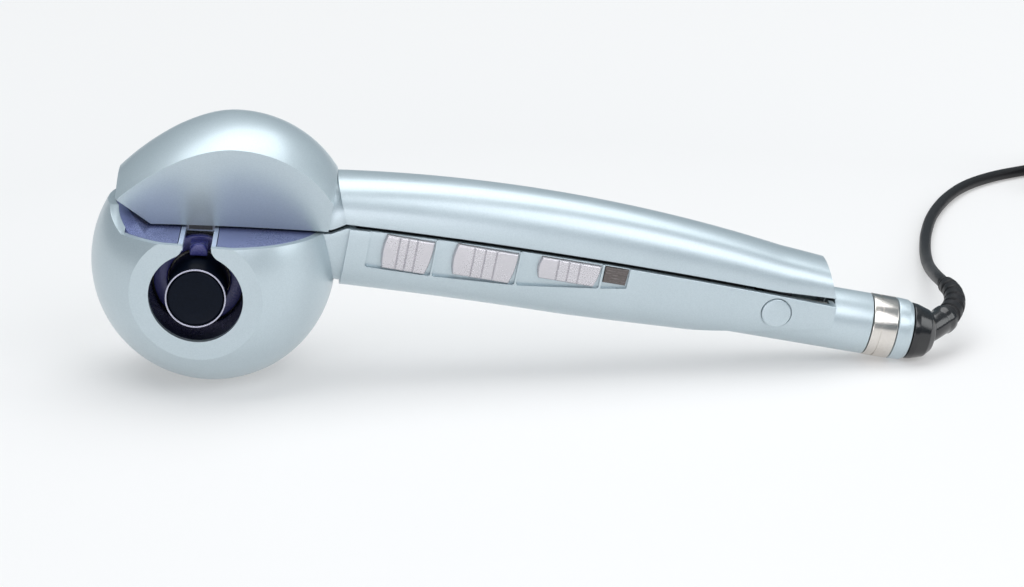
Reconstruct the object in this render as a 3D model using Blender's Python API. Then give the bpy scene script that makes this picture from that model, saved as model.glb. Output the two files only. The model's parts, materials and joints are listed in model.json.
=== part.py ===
# Automatic hair curler: a ball head with a heated barrel and a motor-driven rotor, a handle whose upper half is a
# lever, and a swivelling mains lead. All sizes are in metres; +X runs to the tail and -Y is the open chamber side.
import math

import bmesh
import bpy
from mathutils import Matrix, Vector

MM = 0.001

# ---- driving dimensions ---------------------------------------------------------------------------------------
GAP = 0.3 * MM                      # play between touching pieces
BALL_R = 44.0 * MM                  # lower ball
BALL_WALL = 2.5 * MM
REST_FLAT_R = 7.0 * MM              # small moulded flat the ball stands on
FACET_DEPTH = 37.1 * MM             # side facets, measured from the ball's centre
FACET_NORMAL = (-0.124, -0.985, -0.117)  # the facet is centred on the chamber
HEAD_TILT = math.radians(3.6)       # the head leans this much towards the tail
HANDLE_TILT = math.radians(11.0)    # the handle leans more
BODY_MIDDLE_X = 115.95 * MM          # the ball's centre stands this far in front of the origin

DECK = 15.0 * MM                    # deck plane above the ball's centre
DECK_THICK = 2.5 * MM
JAW_UNDERSIDE = 16.0 * MM
NOSE_TOP = 21.4 * MM
DOME_CENTRE = (6.8 * MM, 0.0, 13.25 * MM)
DOME_RADII = (43.4 * MM, 41.0 * MM, 41.3 * MM)
DOME_WALL = 2.4 * MM
DOME_REAR_U = 38.5 * MM             # the dome ends here, in handle lengths
NOSE_CUT = 36.0 * MM                # and here at the front, in head lengths

CHAMBER = (-4.6 * MM, -4.35 * MM)   # axis of the barrel, chamber and rotor in the head
CHAMBER_R = 16.7 * MM
CHAMBER_BACK = -9.3 * MM
SLOT_HALF = 5.0 * MM
BARREL_R = 10.6 * MM
BARREL_FACE = -36.9 * MM

MODULE = 1.0 * MM
ROTOR_TEETH = 34
IDLER_SMALL_TEETH = 10
IDLER_BIG_TEETH = 20
PINION_TEETH = 8
IDLER_DIRECTION = math.radians(-20.0)
PINION_DIRECTION = math.radians(120.0)

HANDLE_START = 46.0 * MM
HANDLE_END = 226.0 * MM
HANDLE_WALL = 2.2 * MM
SECTION_POWER = 2.4                 # superellipse power of the handle's section
PIVOT = (204.4 * MM, 18.6 * MM)     # lever pivot in the handle
TAIL_R = 11.4 * MM
END_RING_R = 11.2 * MM
END_RING_END = 256.9 * MM
SWIVEL_END = 267.0 * MM

CORD_R = 2.5 * MM
COIL_CENTRE = (407.0 * MM, 246.0 * MM)
COIL_MIDDLE_R = 28.0 * MM
COIL_HALF = 7.5 * MM

# slider caps: front, rear, lowest and highest edge, and the height of the stem
SLIDERS = {
    "time": (58.5 * MM, 76.8 * MM, 11.1 * MM, 24.0 * MM, 17.0 * MM),
    "heat": (84.0 * MM, 107.3 * MM, 13.1 * MM, 25.0 * MM, 18.6 * MM),
    "direction": (114.8 * MM, 137.6 * MM, 17.3 * MM, 25.6 * MM, 19.3 * MM),
}
SCREWS = ((62.0 * MM, 5.2 * MM), (106.0 * MM, 5.2 * MM), (158.0 * MM, 8.0 * MM))
LENS = (139.0 * MM, 147.8 * MM, 19.6 * MM, 25.8 * MM)

BALL_Z = math.sqrt(BALL_R ** 2 - REST_FLAT_R ** 2)
# the tail's axis stands where the end ring just touches the surface
TAIL_W = END_RING_R + (END_RING_END * math.sin(HANDLE_TILT) - BALL_Z + 0.03 * MM) / math.cos(HANDLE_TILT)
FAR_FACET_NORMAL = (FACET_NORMAL[0], -FACET_NORMAL[1], FACET_NORMAL[2])
JAW_FACET_ANGLE = math.atan2(10.0, 29.0)
JAW_FACET_OFFSET = 8.96 * MM
CHAMFER_NORMAL = (-math.sin(math.radians(38.0)), 0.0, -math.cos(math.radians(38.0)))
CHAMFER_OFFSET = 1.0 * MM
# the handle's underside rises from the first of these points to the second
SLOPE_FROM = (170.0 * MM, 3.4 * MM)
SLOPE_TO = (226.0 * MM, 16.0 * MM)
SLOPE = math.atan2(SLOPE_TO[1] - SLOPE_FROM[1], SLOPE_TO[0] - SLOPE_FROM[0])
SLOPE_NORMAL = (math.sin(SLOPE), 0.0, -math.cos(SLOPE))
SLOPE_OFFSET = SLOPE_FROM[0] * SLOPE_NORMAL[0] + SLOPE_FROM[1] * SLOPE_NORMAL[2]


# ---- the handle's shape ---------------------------------------------------------------------------------------
def parting(u):
    # height of the joint between the lever and the lower housing
    return 26.9 * MM - 0.26 * (u - 0.148) ** 2


def half_width(u):
    s = min(max((u - 0.090) / 0.136, 0.0), 1.0)
    return 15.6 * MM - 2.4 * MM * s * s


def lower_depth(u):
    s = min(max((u - 0.125) / 0.100, 0.0), 1.0)
    return 25.1 * MM - 6.0 * MM * s ** 1.4


def upper_height(u):
    return 18.4 * MM - 0.60 * (u - 0.112) ** 2


def lever_edge(u):
    # the joint's gap widens behind the pivot, where the lever swings down
    return parting(u) + 0.7 * MM + 0.07 * max(u - PIVOT[0], 0.0)


def housing_edge(u):
    return parting(u) - 0.7 * MM


def half_section(width, depth, steps=10):
    # half a superellipse from (-width, 0) round through (0, depth) to (width, 0)
    points = []
    for i in range(steps + 1):
        a = math.pi * i / steps
        c = -math.cos(a)
        s = math.sin(a)
        y = math.copysign(abs(c) ** (2.0 / SECTION_POWER), c) * width
        points.append((y, abs(s) ** (2.0 / SECTION_POWER) * depth))
    return points


# ---- making meshes --------------------------------------------------------------------------------------------
def clear_scene():
    for item in list(bpy.data.objects):
        bpy.data.objects.remove(item, do_unlink=True)


def material(name, colour, roughness, metallic=0.0):
    made = bpy.data.materials.new(name)
    made.use_nodes = True
    shader = made.node_tree.nodes["Principled BSDF"]
    shader.inputs["Base Color"].default_value = (*colour, 1.0)
    shader.inputs["Roughness"].default_value = roughness
    shader.inputs["Metallic"].default_value = metallic
    return made


def frame_empty(name, location, tilt):
    empty = bpy.data.objects.new(name, None)
    bpy.context.collection.objects.link(empty)
    empty.location = location
    empty.rotation_euler = (0.0, tilt, 0.0)
    bpy.context.view_layer.update()
    return empty


def mesh_object(name, verts, faces, frame, smooth=True):
    mesh = bpy.data.meshes.new(name)
    mesh.from_pydata([tuple(v) for v in verts], [], faces)
    work = bmesh.new()
    work.from_mesh(mesh)
    bmesh.ops.recalc_face_normals(work, faces=work.faces)
    work.to_mesh(mesh)
    work.free()
    made = bpy.data.objects.new(name, mesh)
    bpy.context.collection.objects.link(made)
    made.parent = frame
    if smooth:
        mesh.shade_smooth()
        mesh.set_sharp_from_angle(angle=math.radians(35.0))
    bpy.context.view_layer.update()
    return made


def loft(name, rings, frame):
    # rings of equally many points, closed at both ends
    size = len(rings[0])
    verts = [point for ring in rings for point in ring]
    faces = []
    for i in range(len(rings) - 1):
        for j in range(size):
            k = (j + 1) % size
            faces.append((i * size + j, i * size + k, (i + 1) * size + k, (i + 1) * size + j))
    faces.append(tuple(range(size)))
    faces.append(tuple((len(rings) - 1) * size + j for j in range(size)))
    return mesh_object(name, verts, faces, frame)


def prism(name, outline, low, high, frame, along="Y"):
    # an outline drawn across one axis and extruded along it
    place = {
        "X": lambda p, t: (t, p[0], p[1]),
        "Y": lambda p, t: (p[0], t, p[1]),
        "Z": lambda p, t: (p[0], p[1], t),
    }[along]
    return loft(name, [[place(p, low) for p in outline], [place(p, high) for p in outline]], frame)


def box(name, low, high, frame):
    outline = [(low[0], low[2]), (high[0], low[2]), (high[0], high[2]), (low[0], high[2])]
    return prism(name, outline, low[1], high[1], frame)


def lathe(name, profile, frame, axis="Y", centre=(0.0, 0.0, 0.0), steps=40, ring=False):
    # turns (radius, height) points about an axis; a ring profile is closed and stays off the axis
    across = {"X": ((0, 1, 0), (0, 0, 1), (1, 0, 0)), "Y": ((1, 0, 0), (0, 0, 1), (0, 1, 0)),
              "Z": ((1, 0, 0), (0, 1, 0), (0, 0, 1))}[axis]
    one, two, up = (Vector(v) for v in across)
    middle = Vector(centre)
    verts = []
    rows = []
    for radius, height in profile:
        if radius < 1e-7:
            rows.append([len(verts)])
            verts.append(middle + up * height)
            continue
        rows.append(list(range(len(verts), len(verts) + steps)))
        for k in range(steps):
            a = 2.0 * math.pi * k / steps
            verts.append(middle + up * height + (one * math.cos(a) + two * math.sin(a)) * radius)
    faces = []
    pairs = list(zip(rows, rows[1:]))
    if ring:
        pairs.append((rows[-1], rows[0]))
    for low, high in pairs:
        for k in range(steps):
            n = (k + 1) % steps
            if len(low) == 1:
                faces.append((low[0], high[n], high[k]))
            elif len(high) == 1:
                faces.append((low[k], low[n], high[0]))
            else:
                faces.append((low[k], low[n], high[n], high[k]))
    return mesh_object(name, verts, faces, frame)


def cylinder(name, radius, low, high, frame, axis="Y", centre=(0.0, 0.0, 0.0), steps=32):
    return lathe(name, [(0.0, low), (radius, low), (radius, high), (0.0, high)], frame, axis, centre, steps)


def tube(name, inner, outer, low, high, frame, axis="Y", centre=(0.0, 0.0, 0.0), steps=32):
    profile = [(inner, low), (outer, low), (outer, high), (inner, high)]
    return lathe(name, profile, frame, axis, centre, steps, ring=True)


def half_space(normal, offset, frame, size=0.4):
    # a big block that holds everything past the plane normal . p = offset
    n = Vector(normal).normalized()
    side = n.orthogonal().normalized()
    up = n.cross(side)
    corners = [(-size, -size), (size, -size), (size, size), (-size, size)]
    rings = [[n * t + side * a + up * b for a, b in corners] for t in (offset, offset + 2.0 * size)]
    return loft("space", rings, frame)


def bake(target):
    # turns what the modifiers give into the object's own mesh
    view = bpy.context.evaluated_depsgraph_get()
    view.update()
    mesh = bpy.data.meshes.new_from_object(target.evaluated_get(view))
    target.modifiers.clear()
    target.data = mesh


def combine(target, tool, operation, keep_tool=False):
    step = target.modifiers.new("cut", "BOOLEAN")
    step.operation = operation
    step.solver = "EXACT"
    step.object = tool
    bake(target)
    if not keep_tool:
        bpy.data.objects.remove(tool, do_unlink=True)
    return target


def cut(target, tool, keep_tool=False):
    return combine(target, tool, "DIFFERENCE", keep_tool)


def join(target, tool, keep_tool=False):
    return combine(target, tool, "UNION", keep_tool)


def keep(target, tool, keep_tool=False):
    return combine(target, tool, "INTERSECT", keep_tool)


def copy_of(source, name):
    made = source.copy()
    made.data = source.data.copy()
    made.name = name
    bpy.context.collection.objects.link(made)
    bpy.context.view_layer.update()
    return made


def hang_on(piece, empty):
    # gives the piece the empty as its parent and origin, with nothing moved
    bpy.context.view_layer.update()
    piece.data.transform(empty.matrix_world.inverted() @ piece.matrix_world)
    piece.parent = empty
    piece.location = (0.0, 0.0, 0.0)
    bpy.context.view_layer.update()


def finish(piece, surface):
    piece.data.materials.clear()
    piece.data.materials.append(surface)
    piece.data.shade_smooth()
    piece.data.set_sharp_from_angle(angle=math.radians(35.0))
    return piece


# ---- solids that several pieces share -------------------------------------------------------------------------
def sphere(name, radii, centre, frame, steps=32, rows=16):
    # an ellipsoid with its poles on the Y axis
    profile = [(math.sin(math.pi * i / rows), -math.cos(math.pi * i / rows)) for i in range(rows + 1)]
    profile[0] = (0.0, -1.0)
    profile[-1] = (0.0, 1.0)
    made = lathe(name, profile, frame, "Y", (0, 0, 0), steps)
    made.data.transform(Matrix.Translation(centre) @ Matrix.Diagonal((*radii, 1.0)))
    return made


def stations(low, high, count):
    return [low + (high - low) * i / (count - 1) for i in range(count)]


def lower_handle(name, offset, low, high, top_extra, frame, count=9):
    # the lower half of the handle, grown or shrunk by the offset
    rings = []
    for u in stations(low, high, count):
        top = housing_edge(u)
        section = half_section(half_width(u) + offset, lower_depth(u) - 0.7 * MM + offset)
        ring = [(u, y, top - d) for y, d in section]
        if top_extra > 0.0:
            ring = [(u, ring[0][1], top + top_extra)] + ring + [(u, ring[-1][1], top + top_extra)]
        rings.append(ring)
    return loft(name, rings, frame)


def upper_handle(name, offset, low, high, drop, frame, count=9):
    rings = []
    for u in stations(low, high, count):
        base = lever_edge(u)
        section = half_section(half_width(u) + offset, upper_height(u) + offset)
        ring = [(u, y, base + h) for y, h in section]
        if drop > 0.0:
            ring = [(u, ring[0][1], base - drop)] + ring + [(u, ring[-1][1], base - drop)]
        rings.append(ring)
    return loft(name, rings, frame)


def keyhole(radius, slot, shoulder, top, steps=26):
    # the chamber's outline: a circle, two hollow shoulders and a straight slot up to the top
    reach = math.sqrt((radius + shoulder) ** 2 - (slot + shoulder) ** 2)
    touch = math.atan2(reach, slot + shoulder)
    points = []
    sweep = math.pi + 2.0 * touch
    for i in range(steps + 1):
        a = touch - sweep * i / steps
        points.append((radius * math.cos(a), radius * math.sin(a)))
    left = []
    for i in range(1, 5):
        turn = touch + math.pi - touch * i / 4.0
        left.append((slot + shoulder + shoulder * math.cos(turn), reach + shoulder * math.sin(turn)))
    points += [(-x, y) for x, y in left]
    points += [(-slot, top), (slot, top)]
    points += list(reversed(left))
    return [(CHAMBER[0] + x, CHAMBER[1] + y) for x, y in points]


def nose_block(name, low_u, high_u, top, frame, extra=0.0):
    # raised lip at the nose: flat on top and sloping down to the deck at both ends
    half = 10.0 * MM + extra
    foot = half + (top - DECK) / 0.41 + 2.0 * MM / 0.41
    outline = [(-foot, DECK - 2.0 * MM), (foot, DECK - 2.0 * MM), (half, top), (-half, top)]
    return prism(name, outline, low_u, high_u, frame, "X")


def gear(name, teeth, low, high, centre, bore, phase, frame):
    # straight teeth a little thinner than half a pitch, so that the pair has backlash
    pitch = 2.0 * math.pi / teeth
    radius = MODULE * teeth / 2.0
    tip = radius + 0.9 * MODULE
    root = radius - 1.2 * MODULE
    outline = []
    for i in range(teeth):
        middle = phase + i * pitch
        for at, r in ((-0.27, root), (-0.13, tip), (0.13, tip), (0.27, root)):
            a = middle + at * pitch
            outline.append((centre[0] + r * math.cos(a), centre[1] + r * math.sin(a)))
    made = prism(name, outline, low, high, frame)
    return cut(made, cylinder("bore", bore, low - 1.0 * MM, high + 1.0 * MM, frame, "Y", (centre[0], 0, centre[1]), 24))


def smooth_path(points, spacing):
    # a Catmull-Rom curve through the points, read at even spacing
    p = [Vector(q) for q in points]
    p = [p[0] * 2.0 - p[1]] + p + [p[-1] * 2.0 - p[-2]]
    fine = []
    for i in range(1, len(p) - 2):
        for k in range(24):
            t = k / 24.0
            a = p[i] * 2.0
            b = (p[i + 1] - p[i - 1]) * t
            c = (p[i - 1] * 2.0 - p[i] * 5.0 + p[i + 1] * 4.0 - p[i + 2]) * t * t
            d = (p[i] * 3.0 - p[i - 1] - p[i + 1] * 3.0 + p[i + 2]) * t ** 3
            fine.append((a + b + c + d) * 0.5)
    fine.append(p[-2])
    length = sum((b - a).length for a, b in zip(fine, fine[1:]))
    count = max(2, round(length / spacing))
    step = length / count
    out = [fine[0]]
    walked = 0.0
    for a, b in zip(fine, fine[1:]):
        part = (b - a).length
        while walked + part >= step * len(out) and len(out) < count:
            out.append(a.lerp(b, (step * len(out) - walked) / part))
        walked += part
    out.append(fine[-1])
    return out


def cord_curve(name, points, radius):
    curve = bpy.data.curves.new(name, "CURVE")
    curve.dimensions = "3D"
    curve.bevel_depth = radius
    curve.bevel_resolution = 2
    curve.use_fill_caps = True
    curve.render_resolution_u = 0
    spline = curve.splines.new("POLY")
    spline.points.add(len(points) - 1)
    for target, p in zip(spline.points, points):
        target.co = (*p, 1.0)
    made = bpy.data.objects.new(name, curve)
    bpy.context.collection.objects.link(made)
    return made


def swept(name, points, radii, frame, sides=12):
    # a round bar along a path whose radius changes from point to point
    rings = []
    side = Vector((0.0, 0.0, 1.0))
    for i, p in enumerate(points):
        before = points[max(i - 1, 0)]
        after = points[min(i + 1, len(points) - 1)]
        way = (after - before).normalized()
        side = (side - way * side.dot(way)).normalized()
        other = way.cross(side)
        turn = [2.0 * math.pi * k / sides for k in range(sides)]
        rings.append([p + (side * math.cos(a) + other * math.sin(a)) * radii[i] for a in turn])
    return loft(name, rings, frame)


# ---- materials ------------------------------------------------------------------------------------------------
clear_scene()
ICE = material("ice_blue_paint", (0.60, 0.70, 0.75), 0.32, 0.55)
DARK = material("dark_plastic", (0.03, 0.032, 0.04), 0.45)
DECKING = material("deck_plastic", (0.42, 0.50, 0.56), 0.25, 0.3)
CLEAR = material("clear_guide", (0.45, 0.62, 0.75), 0.12)
CERAMIC = material("barrel_ceramic", (0.02, 0.025, 0.06), 0.3)
STEEL = material("steel", (0.62, 0.62, 0.63), 0.3, 1.0)
BRASS = material("brass", (0.75, 0.6, 0.3), 0.35, 1.0)
NYLON = material("nylon", (0.82, 0.81, 0.76), 0.5)
GREEN = material("board", (0.05, 0.22, 0.12), 0.5)
CAP = material("slider_cap", (0.80, 0.78, 0.79), 0.35, 0.4)
SMOKE = material("smoked_lens", (0.18, 0.15, 0.13), 0.15)
CHROME = material("silver_band", (0.80, 0.77, 0.72), 0.15, 1.0)
BLACK = material("black_rubber", (0.02, 0.02, 0.022), 0.6)
LAMP = material("lamp", (0.45, 0.5, 0.95), 0.2)

ORIGIN = (-BODY_MIDDLE_X, 0.0, BALL_Z)
head = frame_empty("head_frame", ORIGIN, HEAD_TILT)
handle = frame_empty("handle_frame", ORIGIN, HANDLE_TILT)
world = frame_empty("world_frame", (-BODY_MIDDLE_X, 0.0, 0.0), 0.0)
LEAN = HANDLE_TILT - HEAD_TILT


# ---- lower housing --------------------------------------------------------------------------------------------
def lower_neck(name, shrink):
    rings = []
    for u, top, bottom in ((30.0, 18.6, 0.8), (39.5, 20.0, 0.6), (45.2, 23.3, 0.4), (50.0, 23.4, 0.4)):
        section = half_section(13.8 * MM - shrink, (top - bottom) * MM - shrink)
        rings.append([(u * MM, y, top * MM - d) for y, d in section])
    return loft(name, rings, handle)


def side_pocket():
    # the long recess of the three sliders and the lens, cut down to a floor that follows the wall
    outline = [(53.4, 30.0), (53.4, 10.2), (77.5, 10.7), (109.0, 12.8), (138.0, 16.9), (149.4, 18.8), (149.4, 30.0)]
    pocket = prism("pocket", [(u * MM, w * MM) for u, w in outline], -30.0 * MM, -5.0 * MM, handle)
    return cut(pocket, lower_handle("floor", -1.2 * MM, 48.0 * MM, 160.0 * MM, 8.0 * MM, handle))


def lower_housing():
    body = sphere("lower_housing", (BALL_R,) * 3, (0, 0, 0), head)
    nose = sphere("nose", (BALL_R - 0.01 * MM,) * 3, (0, 0, 0), head)
    keep(nose, nose_block("lip", -60.0 * MM, -30.5 * MM, NOSE_TOP, head, 1.0 * MM))
    cut(body, half_space((0, 0, 1), DECK, head))
    join(body, nose)
    cut(body, half_space(FACET_NORMAL, FACET_DEPTH, head))
    cut(body, half_space(FAR_FACET_NORMAL, FACET_DEPTH, head))
    cut(body, half_space((0, 0, -1), 0.0, world))
    join(body, lower_neck("neck", 0.0))
    shell = lower_handle("shell", 0.0, HANDLE_START, HANDLE_END, 0.0, handle)
    # the underside runs up to the rear and uncovers the tail tube
    cut(shell, half_space(SLOPE_NORMAL, SLOPE_OFFSET, handle))
    join(body, shell)
    hollow = sphere("hollow", (BALL_R - BALL_WALL,) * 3, (0, 0, 0), head)
    cut(hollow, half_space(FACET_NORMAL, FACET_DEPTH - BALL_WALL, head))
    cut(hollow, half_space(FAR_FACET_NORMAL, FACET_DEPTH - BALL_WALL, head))
    cut(body, hollow)
    hollow = lower_handle("hollow", -HANDLE_WALL, HANDLE_START + 2.2 * MM, HANDLE_END - 2.2 * MM, 8.0 * MM, handle)
    for u, w in SCREWS:
        # what is left of the hollow here becomes a screw boss in each half
        cut(hollow, cylinder("boss", 3.1 * MM, -30.0 * MM, 30.0 * MM, handle, "Y", (u, 0.0, w), 16))
    cut(body, hollow)
    cut(body, cylinder("tail_hole", 9.4 * MM, 210.0 * MM, 240.0 * MM, handle, "X", (0.0, 0.0, TAIL_W), 36))
    cut(body, lower_neck("passage", 2.4 * MM))
    cut(body, prism("keyhole", keyhole(CHAMBER_R, SLOT_HALF, 5.0 * MM, 30.0 * MM), -60.0 * MM, -30.0 * MM, head))
    cut(body, side_pocket())
    for start, end, low, high, stem in SLIDERS.values():
        middle = (start + end) / 2.0
        window = (middle - 8.4 * MM, -20.0 * MM, stem - 1.8 * MM), (middle + 3.0 * MM, -9.0 * MM, stem + 1.8 * MM)
        cut(body, box("window", *window, handle))
    lens_hole = ((LENS[0] + 1.5 * MM, -20 * MM, LENS[2] + 1.3 * MM), (LENS[1] - 1.5 * MM, -9 * MM, LENS[3] - 2 * MM))
    cut(body, box("window", *lens_hole, handle))
    at = (PIVOT[0], 0.0, PIVOT[1])
    cut(body, cylinder("pin_hole", 2.1 * MM, -20.0 * MM, 20.0 * MM, handle, "Y", at, 20))
    for side in (-1.0, 1.0):
        low, high = sorted((side * 12.2 * MM, side * 20.0 * MM))
        cut(body, cylinder("cap_seat", 5.8 * MM, low, high, handle, "Y", at, 28))
    return body


def screw_holes(near, far):
    for u, w in SCREWS:
        at = (u, 0.0, w)
        steps = [(0.0, -5.0), (1.5, -5.0), (1.5, 8.5), (2.5, 8.5), (2.5, 30.0), (0.0, 30.0)]
        cut(far, lathe("hole", [(r * MM, t * MM) for r, t in steps], handle, "Y", at, 16))
        cut(near, cylinder("pilot", 1.3 * MM, -7.6 * MM, 5.0 * MM, handle, "Y", at, 16))


def housings():
    near = lower_housing()
    near.name = "lower_housing_near"
    far = copy_of(near, "lower_housing_far")
    cut(near, half_space((0, 1, 0), -0.15 * MM, head))
    cut(far, half_space((0, -1, 0), -0.15 * MM, head))
    screw_holes(near, far)
    # the chamber and the sliders open the near half only; the cutters stop short of the far one
    return finish(near, ICE), finish(far, ICE)


lower_near, lower_far = housings()


# ---- head: deck, slot guide, chamber ----------------------------------------------------------------------------
def deck_plate():
    plate = sphere("deck_plate", (BALL_R - BALL_WALL - GAP,) * 3, (0, 0, 0), head)
    cut(plate, half_space((0, 0, 1), DECK, head))
    cut(plate, half_space((0, 0, -1), -(DECK - DECK_THICK), head))
    lip = sphere("lip", (BALL_R - BALL_WALL - GAP - 0.01 * MM,) * 3, (0, 0, 0), head)
    keep(lip, nose_block("block", -60.0 * MM, -15.0 * MM, NOSE_TOP, head))
    # the lip's inner face leans the same way as the dome's cut
    cut(lip, half_space((math.cos(math.radians(52.0)), 0.0, math.sin(math.radians(52.0))), -2.6 * MM, head))
    join(plate, lip)
    cut(plate, half_space(FACET_NORMAL, FACET_DEPTH - BALL_WALL - GAP, head))
    cut(plate, half_space(FAR_FACET_NORMAL, FACET_DEPTH - BALL_WALL - GAP, head))
    notch = (CHAMBER[0] - 6.9 * MM, -60 * MM, 0.0), (CHAMBER[0] + 6.9 * MM, -7.0 * MM, 40 * MM)
    cut(plate, box("notch", *notch, head))
    # room under the deck for the rim of the rotor's gear
    room = (CHAMBER[0] - 8.0 * MM, -8.5 * MM, 10.0 * MM), (CHAMBER[0] + 8.0 * MM, -2.6 * MM, 13.9 * MM)
    cut(plate, box("gear_room", *room, head))
    return finish(plate, DECKING)


def slot_guide():
    c = CHAMBER[0]
    outer, inner = 6.6 * MM, SLOT_HALF
    front, back = -38.0 * MM, -7.3 * MM
    outline = [(c - outer, front), (c - inner, front), (c - inner, back - 1.6 * MM), (c + inner, back - 1.6 * MM),
               (c + inner, front), (c + outer, front), (c + outer, back), (c - outer, back)]
    guide = prism("slot_guide", outline, DECK - DECK_THICK, DECK - 0.1 * MM, head, "Z")
    cut(guide, half_space(FACET_NORMAL, FACET_DEPTH - BALL_WALL - GAP, head))
    return finish(guide, CLEAR)


def chamber_cup():
    outer = keyhole(CHAMBER_R + 1.5 * MM, SLOT_HALF + 1.5 * MM, 3.5 * MM, 30.0 * MM)
    cup = prism("chamber_cup", outer, -45.0 * MM, CHAMBER_BACK + 1.8 * MM, head)
    inner = keyhole(CHAMBER_R, SLOT_HALF, 5.0 * MM, 40.0 * MM)
    cut(cup, prism("inner", inner, -60.0 * MM, CHAMBER_BACK, head))
    cut(cup, half_space((0, 0, 1), DECK - DECK_THICK - GAP, head))
    at = (CHAMBER[0], 0.0, CHAMBER[1])
    cut(cup, cylinder("hub_hole", 13.2 * MM, -20.0 * MM, 0.0, head, "Y", at))
    cut(cup, half_space(FACET_NORMAL, FACET_DEPTH - BALL_WALL - GAP, head))
    return finish(cup, CERAMIC)


deck_plate()
slot_guide()
chamber_cup()

AXIS = (CHAMBER[0], 0.0, CHAMBER[1])


def barrel():
    sleeve = tube("barrel_sleeve", 9.9 * MM, BARREL_R, BARREL_FACE, -13.0 * MM, head, "Y", AXIS, 40)
    finish(sleeve, CERAMIC)
    face = [(0.0, BARREL_FACE + 0.1 * MM), (9.0 * MM, BARREL_FACE + 0.1 * MM), (9.6 * MM, BARREL_FACE + 0.4 * MM),
            (9.6 * MM, -33.0 * MM), (0.0, -33.0 * MM)]
    finish(lathe("barrel_end_cap", face, head, "Y", AXIS, 40), DARK)
    finish(cylinder("heater_core", 9.0 * MM, -32.5 * MM, -14.5 * MM, head, "Y", AXIS, 24), STEEL)
    steps = [(0.0, -12.6), (10.6, -12.6), (10.6, -2.6), (7.0, -2.6), (7.0, 3.4), (0.0, 3.4)]
    mount = lathe("barrel_mount", [(r * MM, t * MM) for r, t in steps], head, "Y", AXIS, 32)
    finish(mount, NYLON)


barrel()


def offset_point(start, distance, direction):
    return (start[0] + distance * math.cos(direction), start[1] + distance * math.sin(direction))


def pitch_radius(teeth):
    return MODULE * teeth / 2.0


IDLER = offset_point(CHAMBER, pitch_radius(ROTOR_TEETH) + pitch_radius(IDLER_SMALL_TEETH), IDLER_DIRECTION)
MOTOR = offset_point(IDLER, pitch_radius(IDLER_BIG_TEETH) + pitch_radius(PINION_TEETH), PINION_DIRECTION)


def rotor():
    axis = frame_empty("rotor_axis", (0, 0, 0), 0.0)
    axis.parent = head
    axis.location = AXIS
    bpy.context.view_layer.update()
    ring = tube("hair_rotor", 11.2 * MM, 16.2 * MM, -12.6 * MM, CHAMBER_BACK - GAP, head, "Y", AXIS, 40)
    # the hook: an arm along the chamber's wall that ends in an upright finger with a round top
    arm = box("arm", (AXIS[0] - 3.2 * MM, -21.5 * MM, AXIS[2] + 12.6 * MM),
              (AXIS[0] + 3.2 * MM, -11.0 * MM, AXIS[2] + 14.8 * MM), head)
    finger = [(AXIS[0] - 3.2 * MM, AXIS[2] + 11.5 * MM), (AXIS[0] + 3.2 * MM, AXIS[2] + 11.5 * MM)]
    for i in range(7):
        a = math.pi * i / 6.0
        finger.append((AXIS[0] + 3.2 * MM * math.cos(a), AXIS[2] + 12.9 * MM + 3.2 * MM * math.sin(a)))
    join(arm, prism("finger", finger, -23.0 * MM, -20.6 * MM, head))
    join(ring, arm)
    hang_on(finish(ring, DARK), axis)
    wheel = gear("rotor_gear", ROTOR_TEETH, -7.0 * MM, -3.2 * MM, CHAMBER, 11.2 * MM, IDLER_DIRECTION, head)
    hub = tube("hub", 11.2 * MM, 12.8 * MM, CHAMBER_BACK, -6.0 * MM, head, "Y", AXIS, 24)
    join(wheel, hub)
    hang_on(finish(wheel, NYLON), axis)


def idler():
    axis = frame_empty("idler_axis", (0, 0, 0), 0.0)
    axis.parent = head
    axis.location = (IDLER[0], 0.0, IDLER[1])
    bpy.context.view_layer.update()
    # the small wheel has a gap where the rotor gear has a tooth
    small_phase = IDLER_DIRECTION + math.pi + math.pi / IDLER_SMALL_TEETH
    small = gear("idler_gear", IDLER_SMALL_TEETH, -7.0 * MM, -2.0 * MM, IDLER, 1.6 * MM, small_phase, head)
    big = gear("big", IDLER_BIG_TEETH, -2.6 * MM, 1.4 * MM, IDLER, 1.6 * MM, PINION_DIRECTION, head)
    join(small, big)
    hang_on(finish(small, NYLON), axis)
    at = (IDLER[0], 0.0, IDLER[1])
    finish(cylinder("idler_axle", 1.5 * MM, -7.2 * MM, 3.3 * MM, head, "Y", at, 16), STEEL)


def motor():
    axis = frame_empty("motor_axis", (0, 0, 0), 0.0)
    axis.parent = head
    axis.location = (MOTOR[0], 0.0, MOTOR[1])
    bpy.context.view_layer.update()
    at = (MOTOR[0], 0.0, MOTOR[1])
    phase = PINION_DIRECTION + math.pi + math.pi / PINION_TEETH
    pinion = gear("motor_pinion", PINION_TEETH, -2.4 * MM, 1.6 * MM, MOTOR, 1.05 * MM, phase, head)
    hang_on(finish(pinion, BRASS), axis)
    shaft = cylinder("motor_shaft", 1.0 * MM, -2.8 * MM, 6.8 * MM, head, "Y", at, 16)
    hang_on(finish(shaft, STEEL), axis)
    can = tube("motor_can", 1.4 * MM, 11.4 * MM, 6.2 * MM, 28.0 * MM, head, "Y", at, 24)
    cut(can, cylinder("inside", 9.9 * MM, 7.4 * MM, 40.0 * MM, head, "Y", at, 24))
    finish(can, STEEL)
    bell = [(0.0, 28.3), (11.4, 28.3), (11.4, 30.0), (4.0, 31.0), (0.0, 31.0)]
    finish(lathe("motor_end_bell", [(r * MM, t * MM) for r, t in bell], head, "Y", at, 32), DARK)


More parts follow.
